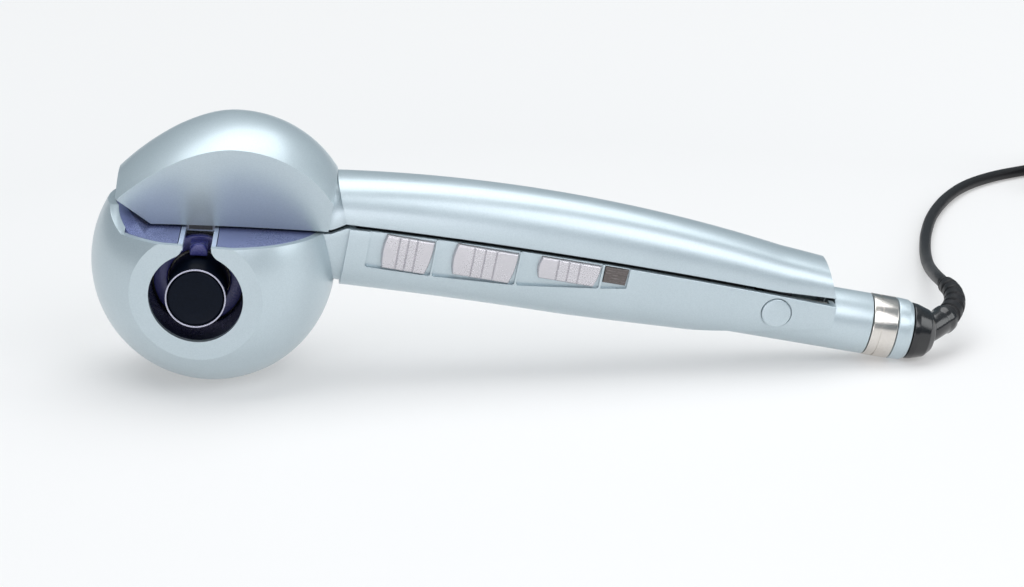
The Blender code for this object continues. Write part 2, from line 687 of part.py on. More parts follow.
def gear_frame():
    outline = []
    for middle, radius, low, high in ((CHAMBER, 9.0 * MM, 100, 255), (IDLER, 6.0 * MM, 250, 350),
                                      (MOTOR, 11.8 * MM, -20, 95)):
        for i in range(7):
            a = math.radians(low + (high - low) * i / 6.0)
            outline.append((middle[0] + radius * math.cos(a), middle[1] + radius * math.sin(a)))
    plate = prism("gear_frame", outline, 3.7 * MM, 5.9 * MM, head)
    at = (MOTOR[0], 0.0, MOTOR[1])
    cut(plate, cylinder("shaft_hole", 2.6 * MM, 0.0, 10.0 * MM, head, "Y", at, 20))
    return finish(plate, STEEL)


rotor()
idler()
motor()
gear_frame()

lamp_at = (CHAMBER[0] - 14.4 * MM, 0.0, 9.8 * MM)
finish(cylinder("chamber_lamp", 1.5 * MM, -26.0 * MM, -20.0 * MM, head, "Y", lamp_at, 16), LAMP)
fuse_at = (CHAMBER[0] - 18.0 * MM, 0.0, CHAMBER[1] - 16.0 * MM)
finish(cylinder("thermal_fuse", 1.8 * MM, -4.0 * MM, 8.0 * MM, head, "Y", fuse_at, 16), STEEL)


# ---- handle insides ---------------------------------------------------------------------------------------------
def trough_width(u):
    return half_width(u) - HANDLE_WALL - GAP


SPRING_U = 168.0 * MM
SPRING_W = 20.0 * MM
PLUNGER_U = 179.4 * MM


def handle_plate():
    rings = []
    for u in stations(50.0 * MM, 192.0 * MM, 9):
        y = trough_width(u) - 0.5 * MM
        low, high = housing_edge(u) - 2.4 * MM, housing_edge(u) - 0.4 * MM
        rings.append([(u, -y, low), (u, y, low), (u, y, high), (u, -y, high)])
    plate = loft("handle_plate", rings, handle)
    x = SPRING_U * math.cos(HANDLE_TILT) + SPRING_W * math.sin(HANDLE_TILT)
    z = BALL_Z + SPRING_W * math.cos(HANDLE_TILT) - SPRING_U * math.sin(HANDLE_TILT)
    join(plate, cylinder("well", 4.8 * MM, z - 8.0 * MM, z + 4.7 * MM, world, "Z", (x, 0.0, 0.0), 24))
    cut(plate, cylinder("bore", 3.8 * MM, z - 6.5 * MM, z + 20.0 * MM, world, "Z", (x, 0.0, 0.0), 24))
    cut(plate, cylinder("plunger_hole", 1.8 * MM, 0.0, 40 * MM, handle, "Z", (PLUNGER_U, 0.0, 0.0), 20))
    finish(plate, DARK)
    top = BALL_Z + lever_edge(SPRING_U) * math.cos(HANDLE_TILT) - SPRING_U * math.sin(HANDLE_TILT)
    spring = tube("return_spring", 2.4 * MM, 3.3 * MM, z - 6.2 * MM, top - 1.0 * MM, world, "Z", (x, 0.0, 0.0), 20)
    finish(spring, STEEL)


handle_plate()


def handle_electrics():
    board = ((56.0 * MM, -5.6 * MM, 8.6 * MM), (152.0 * MM, -4.0 * MM, 21.2 * MM))
    finish(box("control_board", *board, handle), GREEN)
    for name, (start, end, low, high, w) in SLIDERS.items():
        u = (start + end) / 2.0 - 3.5 * MM
        body = ((u - 7.5 * MM, -10.4 * MM, w - 3.6 * MM), (u + 7.5 * MM, -5.9 * MM, w + 3.6 * MM))
        switch = box(name + "_switch", *body, handle)
        groove = ((u - 6.5 * MM, -12.0 * MM, w - 1.4 * MM), (u + 6.5 * MM, -8.2 * MM, w + 1.4 * MM))
        cut(switch, box("groove", *groove, handle))
        finish(switch, STEEL)
    body = ((PLUNGER_U - 4.5 * MM, -3.0 * MM, 12.5 * MM), (PLUNGER_U + 4.5 * MM, 3.0 * MM, 18.6 * MM))
    finish(box("start_switch", *body, handle), DARK)
    buzzer = tube("buzzer", 1.0 * MM, 6.0 * MM, -3.7 * MM, 1.2 * MM, handle, "Y", (132.0 * MM, 0.0, 14.5 * MM), 28)
    finish(buzzer, DARK)
    lamp_at = ((LENS[0] + LENS[1]) / 2.0, 0.0, (LENS[2] + LENS[3]) / 2.0 - 1.0 * MM)
    finish(cylinder("indicator_lamp", 1.5 * MM, -11.4 * MM, -5.9 * MM, handle, "Y", lamp_at, 16), LAMP)
    block = ((213.0 * MM, -5.0 * MM, TAIL_W - 4.0 * MM), (232.0 * MM, 5.0 * MM, TAIL_W + 4.0 * MM))
    finish(box("terminal_block", *block, handle), NYLON)


handle_electrics()


def wall_piece(name, bounds, proud, depth):
    # a cap or lens that follows the handle's curved side
    u0, u1, w0, w1 = bounds
    piece = box(name, (u0, -25.0 * MM, w0), (u1, -4.0 * MM, w1), handle)
    outer = lower_handle("outer", proud, 48.0 * MM, 160.0 * MM, 8.0 * MM, handle)
    keep(piece, outer)
    inner = lower_handle("inner", -1.2 * MM + depth, 48.0 * MM, 160.0 * MM, 8.0 * MM, handle)
    return cut(piece, inner)


def sliders():
    for name, (start, end, low, high, w) in SLIDERS.items():
        edge = min(high, housing_edge((start + end) / 2.0) + 0.1 * MM)
        cap = wall_piece(name + "_slider", (start, end, low, edge), 1.0 * MM, GAP)
        u = (start + end) / 2.0
        # the stem reaches through the window into the switch
        stem = ((u - 1.6 * MM, -15.2 * MM, w - 1.1 * MM), (u + 1.6 * MM, -8.6 * MM, w + 1.1 * MM))
        join(cap, box("stem", *stem, handle))
        finish(cap, CAP)
    lens = wall_piece("indicator_lens", LENS, 0.2 * MM, GAP)
    finish(lens, SMOKE)


sliders()


# ---- hinge and tail ---------------------------------------------------------------------------------------------
def hinge():
    at = (PIVOT[0], 0.0, PIVOT[1])
    finish(cylinder("hinge_pin", 2.0 * MM, -12.0 * MM, 12.0 * MM, handle, "Y", at, 20), STEEL)
    for name, side in (("hinge_cap_near", -1.0), ("hinge_cap_far", 1.0)):
        low, high = sorted((side * 12.5 * MM, side * 13.9 * MM))
        finish(cylinder(name, 5.4 * MM, low, high, handle, "Y", at, 28), ICE)


hinge()
TAIL = (0.0, 0.0, TAIL_W)


def tail():
    body = tube("tail_tube", 9.4 * MM, TAIL_R, 182.5 * MM, 241.1 * MM, handle, "X", TAIL, 36)
    upper = half_space([-n for n in SLOPE_NORMAL], -SLOPE_OFFSET - GAP, handle)
    cut(upper, half_space((1, 0, 0), HANDLE_END + GAP, handle))
    cut(body, upper)
    finish(body, ICE)
    band = [(9.4, 241.4), (TAIL_R / MM + 0.15, 241.4), (TAIL_R / MM + 0.15, 250.7), (9.4, 250.7)]
    finish(lathe("silver_band", [(r * MM, t * MM) for r, t in band], handle, "X", TAIL, 36, True), CHROME)
    ring = [(7.0, 251.0), (11.5, 251.0), (11.2, 256.2), (10.6, 256.9), (7.0, 256.9)]
    finish(lathe("end_ring", [(r * MM, t * MM) for r, t in ring], handle, "X", TAIL, 36, True), ICE)
    socket = [(5.9, 248.0), (9.1, 248.0), (9.1, 250.7), (5.9, 250.7)]
    finish(lathe("swivel_socket", [(r * MM, t * MM) for r, t in socket], handle, "X", TAIL, 28, True), NYLON)


tail()


def case_screws():
    for i, (u, w) in enumerate(SCREWS):
        steps = [(0.0, -7.0), (1.2, -7.0), (1.2, 8.8), (2.2, 8.8), (2.2, 10.2), (0.0, 10.2)]
        screw = lathe("case_screw_%d" % (i + 1), [(r * MM, t * MM) for r, t in steps], handle, "Y", (u, 0, w), 16)
        finish(screw, STEEL)


case_screws()


# ---- upper cover, jaw insert and lever liner ----------------------------------------------------------------------
def jaw_facets(target, inset):
    for side in (-1.0, 1.0):
        normal = (0.0, side * math.cos(JAW_FACET_ANGLE), -math.sin(JAW_FACET_ANGLE))
        cut(target, half_space(normal, JAW_FACET_OFFSET - inset, head))


def upper_cover():
    dome = sphere("upper_cover", DOME_RADII, DOME_CENTRE, head)
    cut(dome, half_space((0, 0, -1), -JAW_UNDERSIDE, head))
    jaw_facets(dome, 0.0)
    cut(dome, half_space(CHAMFER_NORMAL, CHAMFER_OFFSET, head))
    cut(dome, half_space((-1, 0, 0), NOSE_CUT, head))
    cut(dome, half_space((1, 0, 0), DOME_REAR_U, handle))
    neck_rings = []
    for u, low, top in ((28.0, 20.2, 37.4), (39.8, 21.4, 38.6), (45.4, 25.0, 39.1), (52.0, 25.6, 39.6)):
        section = half_section(13.6 * MM, (top - low) * MM)
        neck_rings.append([(u * MM, y, low * MM + h) for y, h in section])
    join(dome, loft("neck", neck_rings, handle))
    lever = upper_handle("lever", 0.0, 34.0 * MM, 232.0 * MM, 0.0, handle, 11)
    front = Vector((-16.1, 0.0, -6.5)).normalized()
    cut(lever, half_space(tuple(front), front.x * 45.0 * MM + front.z * 23.9 * MM, handle))
    rear = Vector((12.0, 0.0, 5.0)).normalized()
    cut(lever, half_space(tuple(rear), rear.x * 225.4 * MM + rear.z * 27.0 * MM, handle))
    join(dome, lever)
    inner = [r - DOME_WALL for r in DOME_RADII]
    hollow = sphere("hollow", inner, DOME_CENTRE, head)
    jaw_facets(hollow, DOME_WALL)
    cut(hollow, half_space(CHAMFER_NORMAL, CHAMFER_OFFSET - DOME_WALL, head))
    cut(hollow, half_space((1, 0, 0), DOME_REAR_U - DOME_WALL, handle))
    cut(dome, hollow)
    cut(dome, upper_handle("hollow", -HANDLE_WALL, 48.5 * MM, 219.5 * MM, 6.0 * MM, handle))
    cut(dome, box("passage", (30.0 * MM, -9.0 * MM, 26.5 * MM), (52.0 * MM, 9.0 * MM, 34.0 * MM), handle))
    return dome


def jaw_insert():
    # closes the dome's underside, with a tongue that sits in the slot's mouth
    plate = box("jaw_insert", (-17.4 * MM, -12.0 * MM, JAW_UNDERSIDE), (37.6 * MM, 12.0 * MM, 18.0 * MM), head)
    tongue = ((CHAMBER[0] - 4.2 * MM, -11.5 * MM, 13.8 * MM), (CHAMBER[0] + 4.2 * MM, -9.6 * MM, 17.0 * MM))
    join(plate, box("tongue", *tongue, head))
    return finish(plate, DARK)


def lever_liner():
    rings = []
    for u in stations(54.0 * MM, 212.0 * MM, 9):
        y = trough_width(u) - 0.5 * MM
        low, high = lever_edge(u) + 0.4 * MM, lever_edge(u) + 2.2 * MM
        rings.append([(u, -y, low), (u, y, low), (u, y, high), (u, -y, high)])
    liner = loft("lever_liner", rings, handle)
    for side in (-1.0, 1.0):
        low, high = sorted((side * 7.4 * MM, side * 9.4 * MM))
        lug = [(PIVOT[0] + 5.0 * MM * math.cos(math.pi + math.pi * i / 8.0),
                PIVOT[1] + 5.0 * MM * math.sin(math.pi + math.pi * i / 8.0)) for i in range(9)]
        lug += [(PIVOT[0] + 5.0 * MM, 28.0 * MM), (PIVOT[0] - 5.0 * MM, 28.0 * MM)]
        join(liner, prism("lug", lug, low, high, handle))
    at = (PIVOT[0], 0.0, PIVOT[1])
    cut(liner, cylinder("pin_hole", 2.15 * MM, -20 * MM, 20 * MM, handle, "Y", at, 20))
    return finish(liner, DARK)


jaw_pivot = frame_empty("jaw_pivot", (0, 0, 0), 0.0)
jaw_pivot.parent = handle
jaw_pivot.location = (PIVOT[0], 0.0, PIVOT[1])
bpy.context.view_layer.update()
for made in (finish(upper_cover(), ICE), jaw_insert(), lever_liner()):
    hang_on(made, jaw_pivot)

plunger_top = lever_edge(PLUNGER_U) + 0.4 * MM - GAP
plunger = cylinder("start_plunger", 1.5 * MM, 18.9 * MM, plunger_top, handle, "Z", (PLUNGER_U, 0, 0), 16)
finish(plunger, NYLON)


# ---- swivel, strain relief and cord -----------------------------------------------------------------------------
# the lead's route, ball centre at X = 0, on the surface from its seventh point on
RELIEF_ROUTE = ((262.4, 0.0, 10.2), (266.4, 3.0, 11.2), (271.4, 8.0, 12.4), (275.4, 14.0, 13.6),
                (278.0, 20.0, 14.9), (279.1, 26.0, 16.0), (279.2, 32.0, 16.7), (278.8, 38.0, 16.6))
CORD_ROUTE = ((278.7, 38.4, 16.6), (278.8, 48.0, 15.7), (279.8, 60.0, 13.8), (281.6, 75.0, 11.2), (284.2, 93.0, 8.2),
              (288.0, 115.0, 5.2), (292.4, 137.0, 3.5), (298.4, 162.0, 2.8), (307.2, 190.0, 2.7),
              (319.6, 218.0, 2.7), (333.5, 240.0, 2.7), (350.0, 256.0, 2.7), (367.5, 266.5, 2.7), (377.0, 271.0, 2.7))
PLUG_LEAD = ((445.0, 240.0, 2.7), (445.0, 232.0, 2.8), (445.0, 224.0, 3.8), (445.0, 216.0, 5.6), (445.0, 209.0, 7.0),
             (445.0, 204.0, 7.2))


def shifted(route):
    return [Vector((x * MM - BODY_MIDDLE_X, y * MM, z * MM)) for x, y, z in route]


def swivel():
    profile = [(0.0, 245.0), (7.4, 245.0), (7.4, 247.2), (5.6, 247.7), (5.6, 257.3), (10.6, 257.3), (10.2, 260.0),
               (8.6, 264.6), (6.4, 266.6), (3.0, 267.2), (0.0, 267.2)]
    cone = lathe("cord_swivel", [(r * MM, t * MM) for r, t in profile], handle, "X", TAIL, 24)
    path = smooth_path(shifted(RELIEF_ROUTE), 2.2 * MM)
    stub = [p for p in path if p.y < 9.0 * MM]
    join(cone, swept("stub", stub, [4.9 * MM] * len(stub), None))
    finish(cone, BLACK)
    rest = [p for p in path if p.y >= 9.3 * MM]
    rest[0] = stub[-1] + (rest[0] - stub[-1]).normalized() * 0.9 * MM
    taper = [(4.7 - 1.4 * i / (len(rest) - 1)) * MM for i in range(len(rest))]
    finish(swept("strain_relief", rest, taper, None), BLACK)


def cord():
    cord_curve("cord_tube", smooth_path(shifted(CORD_ROUTE), 11.0 * MM), CORD_R).data.materials.append(BLACK)
    cord_curve("cord_plug_lead", smooth_path(shifted(PLUG_LEAD), 7.0 * MM), CORD_R).data.materials.append(BLACK)
    corner = 3.0 * MM
    inner, outer = COIL_MIDDLE_R - COIL_HALF, COIL_MIDDLE_R + COIL_HALF
    ring = [(inner + corner, 0.1 * MM), (outer - corner, 0.1 * MM), (outer, corner), (outer, 15.0 * MM - corner),
            (outer - corner, 15.0 * MM), (inner + corner, 15.0 * MM), (inner, 15.0 * MM - corner), (inner, corner)]
    finish(lathe("cord_coil", ring, world, "Z", (*COIL_CENTRE, 0.0), 28, True), BLACK)


def plug():
    x = 445.0 * MM
    rings = []
    for y, width, low, high in ((203.6, 5.0, 3.0, 11.4), (195.0, 5.4, 2.4, 12.0), (188.0, 9.0, 1.2, 13.2),
                                (178.0, 12.6, 0.3, 14.0), (166.0, 13.0, 0.3, 14.0), (164.6, 12.2, 1.0, 13.3)):
        ring = []
        middle = (low + high) / 2.0
        for i in range(16):
            a = 2.0 * math.pi * i / 16.0
            c = math.cos(a)
            s = math.sin(a)
            across = math.copysign(abs(c) ** 0.6, c) * width
            up = middle + math.copysign(abs(s) ** 0.6, s) * (high - low) / 2.0
            ring.append((x + across * MM, y * MM, up * MM))
        rings.append(ring)
    finish(loft("plug_body", rings, world), BLACK)
    for i, side in enumerate((-1.0, 1.0)):
        at = (x + side * 9.3 * MM, 0.0, 7.15 * MM)
        tip = [(0.0, 145.3), (1.4, 145.3), (2.0, 146.2), (2.0, 164.3), (0.0, 164.3)]
        pin = lathe("plug_pin_%d" % (i + 1), [(r * MM, t * MM) for r, t in tip], world, "Y", at, 16)
        finish(pin, BRASS)


swivel()
cord()
plug()
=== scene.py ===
import json
import math

import bmesh
import bpy
import numpy as np
from mathutils import Matrix, Vector


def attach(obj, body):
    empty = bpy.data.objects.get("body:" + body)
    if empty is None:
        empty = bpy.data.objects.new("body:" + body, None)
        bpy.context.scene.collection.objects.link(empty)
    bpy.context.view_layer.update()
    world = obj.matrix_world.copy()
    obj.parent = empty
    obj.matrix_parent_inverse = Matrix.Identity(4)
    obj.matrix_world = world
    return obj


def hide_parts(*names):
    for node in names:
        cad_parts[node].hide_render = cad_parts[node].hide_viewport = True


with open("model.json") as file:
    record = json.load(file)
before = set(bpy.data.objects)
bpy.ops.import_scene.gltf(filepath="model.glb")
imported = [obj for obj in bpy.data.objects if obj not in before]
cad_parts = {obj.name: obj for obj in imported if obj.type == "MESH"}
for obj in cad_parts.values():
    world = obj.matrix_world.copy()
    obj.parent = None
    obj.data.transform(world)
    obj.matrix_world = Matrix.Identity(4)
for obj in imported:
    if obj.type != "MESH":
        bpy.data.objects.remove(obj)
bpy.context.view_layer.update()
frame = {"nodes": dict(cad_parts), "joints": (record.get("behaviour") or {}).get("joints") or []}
mm = 0.001

# the whole curler hangs on two tilted frames that share the ball's centre
layout = {
    "ballRadius": 44.0 * mm,
    "restFlat": 7.0 * mm,
    "headTilt": math.radians(3.6),
    "handleTilt": math.radians(11.0),
    "pivotU": 204.4 * mm,
    "pivotW": 18.6 * mm,
    "sectionPower": 2.4,
}
hinge = next(joint for joint in frame["joints"] if joint["name"] == "jaw_hinge")["pos_m"]
ballZ = math.sqrt(layout["ballRadius"] ** 2 - layout["restFlat"] ** 2)
tiltCos, tiltSin = math.cos(layout["handleTilt"]), math.sin(layout["handleTilt"])
ballX = hinge[0] - layout["pivotU"] * tiltCos - layout["pivotW"] * tiltSin
middle = Matrix.Translation((ballX, 0.0, ballZ))
headPlace = middle @ Matrix.Rotation(layout["headTilt"], 4, "Y")
handlePlace = middle @ Matrix.Rotation(layout["handleTilt"], 4, "Y")
worldPlace = Matrix.Identity(4)
ballPlace = Matrix.Translation((ballX, 0.0, 0.0))
tailW = 11.2 * mm + (256.9 * mm * tiltSin - ballZ + 0.03 * mm) / tiltCos


# stage: camera, floor and light


def makeStage():
    view = {
        "eye": (52.65, -911.33, 307.08), "right": (0.99813, -0.06105, 0.0), "forward": (0.05838, 0.95452, -0.29237),
    }
    camera = bpy.data.objects.new("camera", bpy.data.cameras.new("camera"))
    bpy.context.collection.objects.link(camera)
    right = Vector(view["right"]).normalized()
    forward = Vector(view["forward"]).normalized()
    up = right.cross(forward)
    camera.matrix_world = Matrix.Translation(Vector(view["eye"]) * mm + Vector((ballX, 0, 0))) @ Matrix(
        (right, up, -forward)).transposed().to_4x4()
    camera.data.lens = 91.4
    camera.data.sensor_width = 36.0
    camera.data.clip_end = 20.0
    bpy.context.scene.camera = camera

    reach = 9.0
    corners = np.array([[(-reach, -reach, 0.0), (reach, -reach, 0.0)], [(-reach, reach, 0.0), (reach, reach, 0.0)]])
    floor = surface("floor", corners, worldPlace, ring=False, capped=False)
    made = bpy.data.materials.new("floorPaper")
    made.use_nodes = True
    shader = made.node_tree.nodes["Principled BSDF"]
    shader.inputs["Base Color"].default_value = (0.55, 0.55, 0.55, 1.0)
    shader.inputs["Roughness"].default_value = 0.6
    shader.inputs["Specular IOR Level"].default_value = 0.25
    shader.inputs["Emission Color"].default_value = (1.0, 0.985, 0.975, 1.0)
    # the paper's own glow grows with the distance from the curler, from 0.33 to 0.84
    far = made.node_tree.nodes.new("ShaderNodeVectorMath")
    far.operation = "LENGTH"
    coord = made.node_tree.nodes.new("ShaderNodeTexCoord")
    made.node_tree.links.new(coord.outputs["Object"], far.inputs[0])
    span = made.node_tree.nodes.new("ShaderNodeMapRange")
    span.inputs["From Min"].default_value = 0.35
    span.inputs["From Max"].default_value = 2.2
    span.inputs["To Min"].default_value = 0.33
    span.inputs["To Max"].default_value = 0.84
    made.node_tree.links.new(far.outputs["Value"], span.inputs["Value"])
    made.node_tree.links.new(span.outputs["Result"], shader.inputs["Emission Strength"])
    floor.data.materials.append(made)

    # the room: bright overhead, a soft grey-teal band near the horizon
    world = bpy.data.worlds.new("room")
    bpy.context.scene.world = world
    world.use_nodes = True
    nodes = world.node_tree.nodes
    links = world.node_tree.links
    back = nodes["Background"]
    coord = nodes.new("ShaderNodeTexCoord")
    split = nodes.new("ShaderNodeSeparateXYZ")
    ramp = nodes.new("ShaderNodeValToRGB")
    ramp.color_ramp.elements[0].position = 0.0
    ramp.color_ramp.elements[0].color = (0.42, 0.47, 0.52, 1.0)
    ramp.color_ramp.elements[1].position = 1.0
    ramp.color_ramp.elements[1].color = (1.0, 1.0, 1.0, 1.0)
    for position, colour in ((0.14, (0.27, 0.34, 0.39, 1.0)), (0.5, (0.33, 0.42, 0.47, 1.0)),
                             (0.66, (0.72, 0.79, 0.84, 1.0)), (0.84, (0.46, 0.54, 0.59, 1.0))):
        ramp.color_ramp.elements.new(position).color = colour
    links.new(coord.outputs["Generated"], split.inputs[0])
    links.new(split.outputs["Z"], ramp.inputs[0])
    seen = nodes.new("ShaderNodeLightPath")
    mix = nodes.new("ShaderNodeMix")
    mix.data_type = "RGBA"
    mix.inputs["B"].default_value = (0.93, 0.93, 0.93, 1.0)
    links.new(seen.outputs["Is Camera Ray"], mix.inputs["Factor"])
    links.new(ramp.outputs["Color"], mix.inputs["A"])
    links.new(mix.outputs["Result"], back.inputs["Color"])
    back.inputs["Strength"].default_value = 0.56

    lights = (
        # name, place, aim, width, height, watts, colour
        ("topSoftbox", (-0.08, 0.22, 1.2), (0.0, 0.05, 0.0), 1.7, 1.0, 12.5, (0.98, 0.99, 1.0)),
        ("rightFill", (0.5, -0.95, 0.95), (-0.16, 0.0, 0.04), 0.8, 0.8, 6.0, (1.0, 0.98, 1.0)),
        ("sideFill", (1.1, -0.2, 0.5), (-0.16, 0.0, 0.04), 0.6, 0.6, 3.0, (0.98, 1.0, 1.0)),
        ("frontFill", (-0.35, -1.3, 0.2), (-0.19, 0.0, 0.05), 0.9, 0.3, 3.0, (1.0, 0.96, 0.99)),
    )
    for name, place, aim, width, height, watts, colour in lights:
        lamp = bpy.data.lights.new(name, "AREA")
        lamp.shape = "RECTANGLE"
        lamp.size = width
        lamp.size_y = height
        lamp.energy = watts
        lamp.color = colour
        made = bpy.data.objects.new(name, lamp)
        bpy.context.collection.objects.link(made)
        made.location = place
        made.rotation_mode = "QUATERNION"
        made.rotation_quaternion = (Vector(aim) - Vector(place)).to_track_quat("-Z", "Y")
    scene = bpy.context.scene
    scene.view_settings.view_transform = "Standard"
    scene.view_settings.look = "None"


# making surfaces


def surface(name, grid, place, ring=True, capped=True, loop=False, fan=True):
    # a grid of points as quads; ring closes it across, loop closes it along, and capped closes its two ends,
    # with a fan of triangles or, for a hollow outline, with one face
    rows, cols, _ = grid.shape
    points = grid.reshape(-1, 3)
    index = np.arange(rows * cols).reshape(rows, cols)
    nextCol = np.roll(index, -1, axis=1) if ring else index[:, 1:]
    thisCol = index if ring else index[:, :-1]
    if loop:
        nextRow, nextBoth = np.roll(thisCol, -1, axis=0), np.roll(nextCol, -1, axis=0)
        quads = np.stack([thisCol, nextCol, nextBoth, nextRow], -1).reshape(-1, 4)
    else:
        quads = np.stack([thisCol[:-1], nextCol[:-1], nextCol[1:], thisCol[1:]], -1).reshape(-1, 4)
    faces = quads.tolist()
    if capped and not fan:
        faces += [thisCol[0][::-1].tolist(), thisCol[-1].tolist()]
    elif capped:
        ends = np.stack([grid[0].mean(0), grid[-1].mean(0)])
        points = np.concatenate([points, ends])
        first, last = rows * cols, rows * cols + 1
        faces += np.stack([nextCol[0], thisCol[0], np.full_like(thisCol[0], first)], -1).tolist()
        faces += np.stack([thisCol[-1], nextCol[-1], np.full_like(thisCol[0], last)], -1).tolist()
    turn = np.array(place.to_3x3())
    points = points @ turn.T + np.array(place.translation)
    mesh = bpy.data.meshes.new(name)
    mesh.from_pydata(points, [], faces)
    if capped or loop:
        faceOut(mesh)
    made = bpy.data.objects.new(name, mesh)
    bpy.context.collection.objects.link(made)
    mesh.shade_smooth()
    return made


def faceOut(mesh):
    work = bmesh.new()
    work.from_mesh(mesh)
    bmesh.ops.recalc_face_normals(work, faces=work.faces)
    work.to_mesh(mesh)
    work.free()


def turned(name, profile, place, axis="Y", centre=(0.0, 0.0, 0.0), steps=96, loop=False):
    # a profile of (radius, height) carried round an axis; loop closes the profile itself
    profile = np.array(profile, float)
    angle = np.linspace(0.0, 2.0 * np.pi, steps, endpoint=False)
    radius = np.maximum(profile[:, 0], 1e-6)[:, None]
    height = np.broadcast_to(profile[:, 1][:, None], (len(profile), steps))
    one, two = radius * np.cos(angle), radius * np.sin(angle)
    order = {"X": (height, one, two), "Y": (one, height, two), "Z": (one, two, height)}[axis]
    grid = np.stack(order, -1) + np.array(centre)
    return surface(name, grid, place, loop=loop, capped=not loop)


def rounded(corners, radii, steps=5):
    # a polyline of (a, b) corners with each inner corner turned into an arc of its radius
    corners = np.array(corners, float)
    out = [corners[0]]
    for before, here, after, radius in zip(corners, corners[1:], corners[2:], radii):
        back, on = before - here, after - here
        backLength, onLength = np.linalg.norm(back), np.linalg.norm(on)
        back, on = back / backLength, on / onLength
        half = math.acos(max(-1.0, min(1.0, float(back @ on)))) / 2.0
        if radius <= 0.0 or half > 1.56:
            out.append(here)
            continue
        reach = min(radius / math.tan(half), 0.49 * backLength, 0.49 * onLength)
        arc = reach * math.tan(half)
        centre = here + (back + on) / np.linalg.norm(back + on) * arc / math.sin(half)
        start, end = here + back * reach - centre, here + on * reach - centre
        sweep = math.atan2(start[0] * end[1] - start[1] * end[0], float(start @ end))
        for k in range(steps + 1):
            a = sweep * k / steps
            out.append(centre + np.array([start[0] * math.cos(a) - start[1] * math.sin(a),
                                          start[0] * math.sin(a) + start[1] * math.cos(a)]))
    out.append(corners[-1])
    return np.array(out)


def roundedRing(corners, radii, steps=5):
    # the same for a closed outline
    closed = [corners[-1], *corners, corners[0]]
    return rounded(closed, radii, steps)[1:-1]


def extruded(name, outline, low, high, place, along="Y"):
    outline = np.array(outline, float)
    a, b = outline[:, 0], outline[:, 1]
    rows = []
    for t in (low, high):
        level = np.full(len(a), t)
        rows.append(np.stack({"X": (level, a, b), "Y": (a, level, b), "Z": (a, b, level)}[along], -1))
    return surface(name, np.stack(rows), place, fan=False)


def block(name, low, high, place):
    outline = [(low[0], low[2]), (high[0], low[2]), (high[0], high[2]), (low[0], high[2])]
    return extruded(name, outline, low[1], high[1], place)


def halfSpace(normal, offset, place, size=0.4):
    normal = np.array(normal, float) / np.linalg.norm(normal)
    side = np.array(Vector(normal).orthogonal().normalized())
    up = np.cross(normal, side)
    square = [side * a + up * b for a, b in ((-size, -size), (size, -size), (size, size), (-size, size))]
    grid = np.stack([[normal * t + corner for corner in square] for t in (offset, offset + 2.0 * size)])
    return surface("space", grid, place)


def ellipsoid(name, radii, centre, place, steps=128, rows=64):
    angle = np.linspace(0.03, np.pi - 0.03, rows)
    made = turned(name, np.stack([np.sin(angle), -np.cos(angle)], -1), worldPlace, steps=steps)
    made.data.transform(place @ Matrix.Translation(centre) @ Matrix.Diagonal((*radii, 1.0)))
    return made


def shaped(target, tool, operation="DIFFERENCE", keepTool=False):
    step = target.modifiers.new("shape", "BOOLEAN")
    step.operation = operation
    step.solver = "EXACT"
    step.object = tool
    settle(target)
    if not keepTool:
        bpy.data.objects.remove(tool, do_unlink=True)
    return target


def trim(target, place, *planes):
    # takes away what lies beyond each plane, given by its outward direction and its distance
    for normal, offset in planes:
        shaped(target, halfSpace(normal, offset, place))


def settle(target):
    view = bpy.context.evaluated_depsgraph_get()
    view.update()
    mesh = bpy.data.meshes.new_from_object(target.evaluated_get(view))
    target.modifiers.clear()
    target.data = mesh


def smooth(piece, degrees=28.0):
    piece.data.shade_smooth()
    piece.data.set_sharp_from_angle(angle=math.radians(degrees))
    return piece


def dress(piece, body, surfaceLook, nodes=(), degrees=28.0):
    # gives a finished piece its look and its body, and hides the CAD nodes that it stands for
    smooth(piece, degrees)
    piece.data.materials.clear()
    piece.data.materials.append(surfaceLook)
    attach(piece, body)
    if nodes:
        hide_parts(*nodes)
    return piece


def curveThrough(points, spacing):
    # a Catmull-Rom curve through the route's points, read at even spacing
    p = np.array(points, float)
    p = np.concatenate([[2.0 * p[0] - p[1]], p, [2.0 * p[-1] - p[-2]]])
    t = np.linspace(0.0, 1.0, 24, endpoint=False)[:, None]
    spans = [(2.0 * here + (after - before) * t + (2.0 * before - 5.0 * here + 4.0 * after - last) * t ** 2
              + (3.0 * here - before - 3.0 * after + last) * t ** 3) / 2.0
             for before, here, after, last in zip(p, p[1:], p[2:], p[3:])]
    fine = np.concatenate([*spans, [p[-2]]])
    along = np.concatenate([[0.0], np.cumsum(np.linalg.norm(np.diff(fine, axis=0), axis=1))])
    even = np.linspace(0.0, along[-1], max(3, round(along[-1] / spacing) + 1))
    return np.stack([np.interp(even, along, fine[:, k]) for k in range(3)], -1)


def swept(name, path, radii, sides=24, place=worldPlace):
    # a round section carried along a path; its sideways direction is turned as little as possible
    way = np.gradient(path, axis=0)
    way /= np.linalg.norm(way, axis=1)[:, None]
    side = np.zeros_like(path)
    last = np.array([0.0, 0.0, 1.0])
    for i, w in enumerate(way):
        last = last - w * (last @ w)
        last = last / np.linalg.norm(last)
        side[i] = last
    other = np.cross(way, side)
    angle = np.linspace(0.0, 2.0 * np.pi, sides, endpoint=False)
    ring = side[:, None, :] * np.cos(angle)[None, :, None] + other[:, None, :] * np.sin(angle)[None, :, None]
    grid = path[:, None, :] + ring * np.asarray(radii, float).reshape(-1, 1, 1)
    return surface(name, grid, place)


# finishes


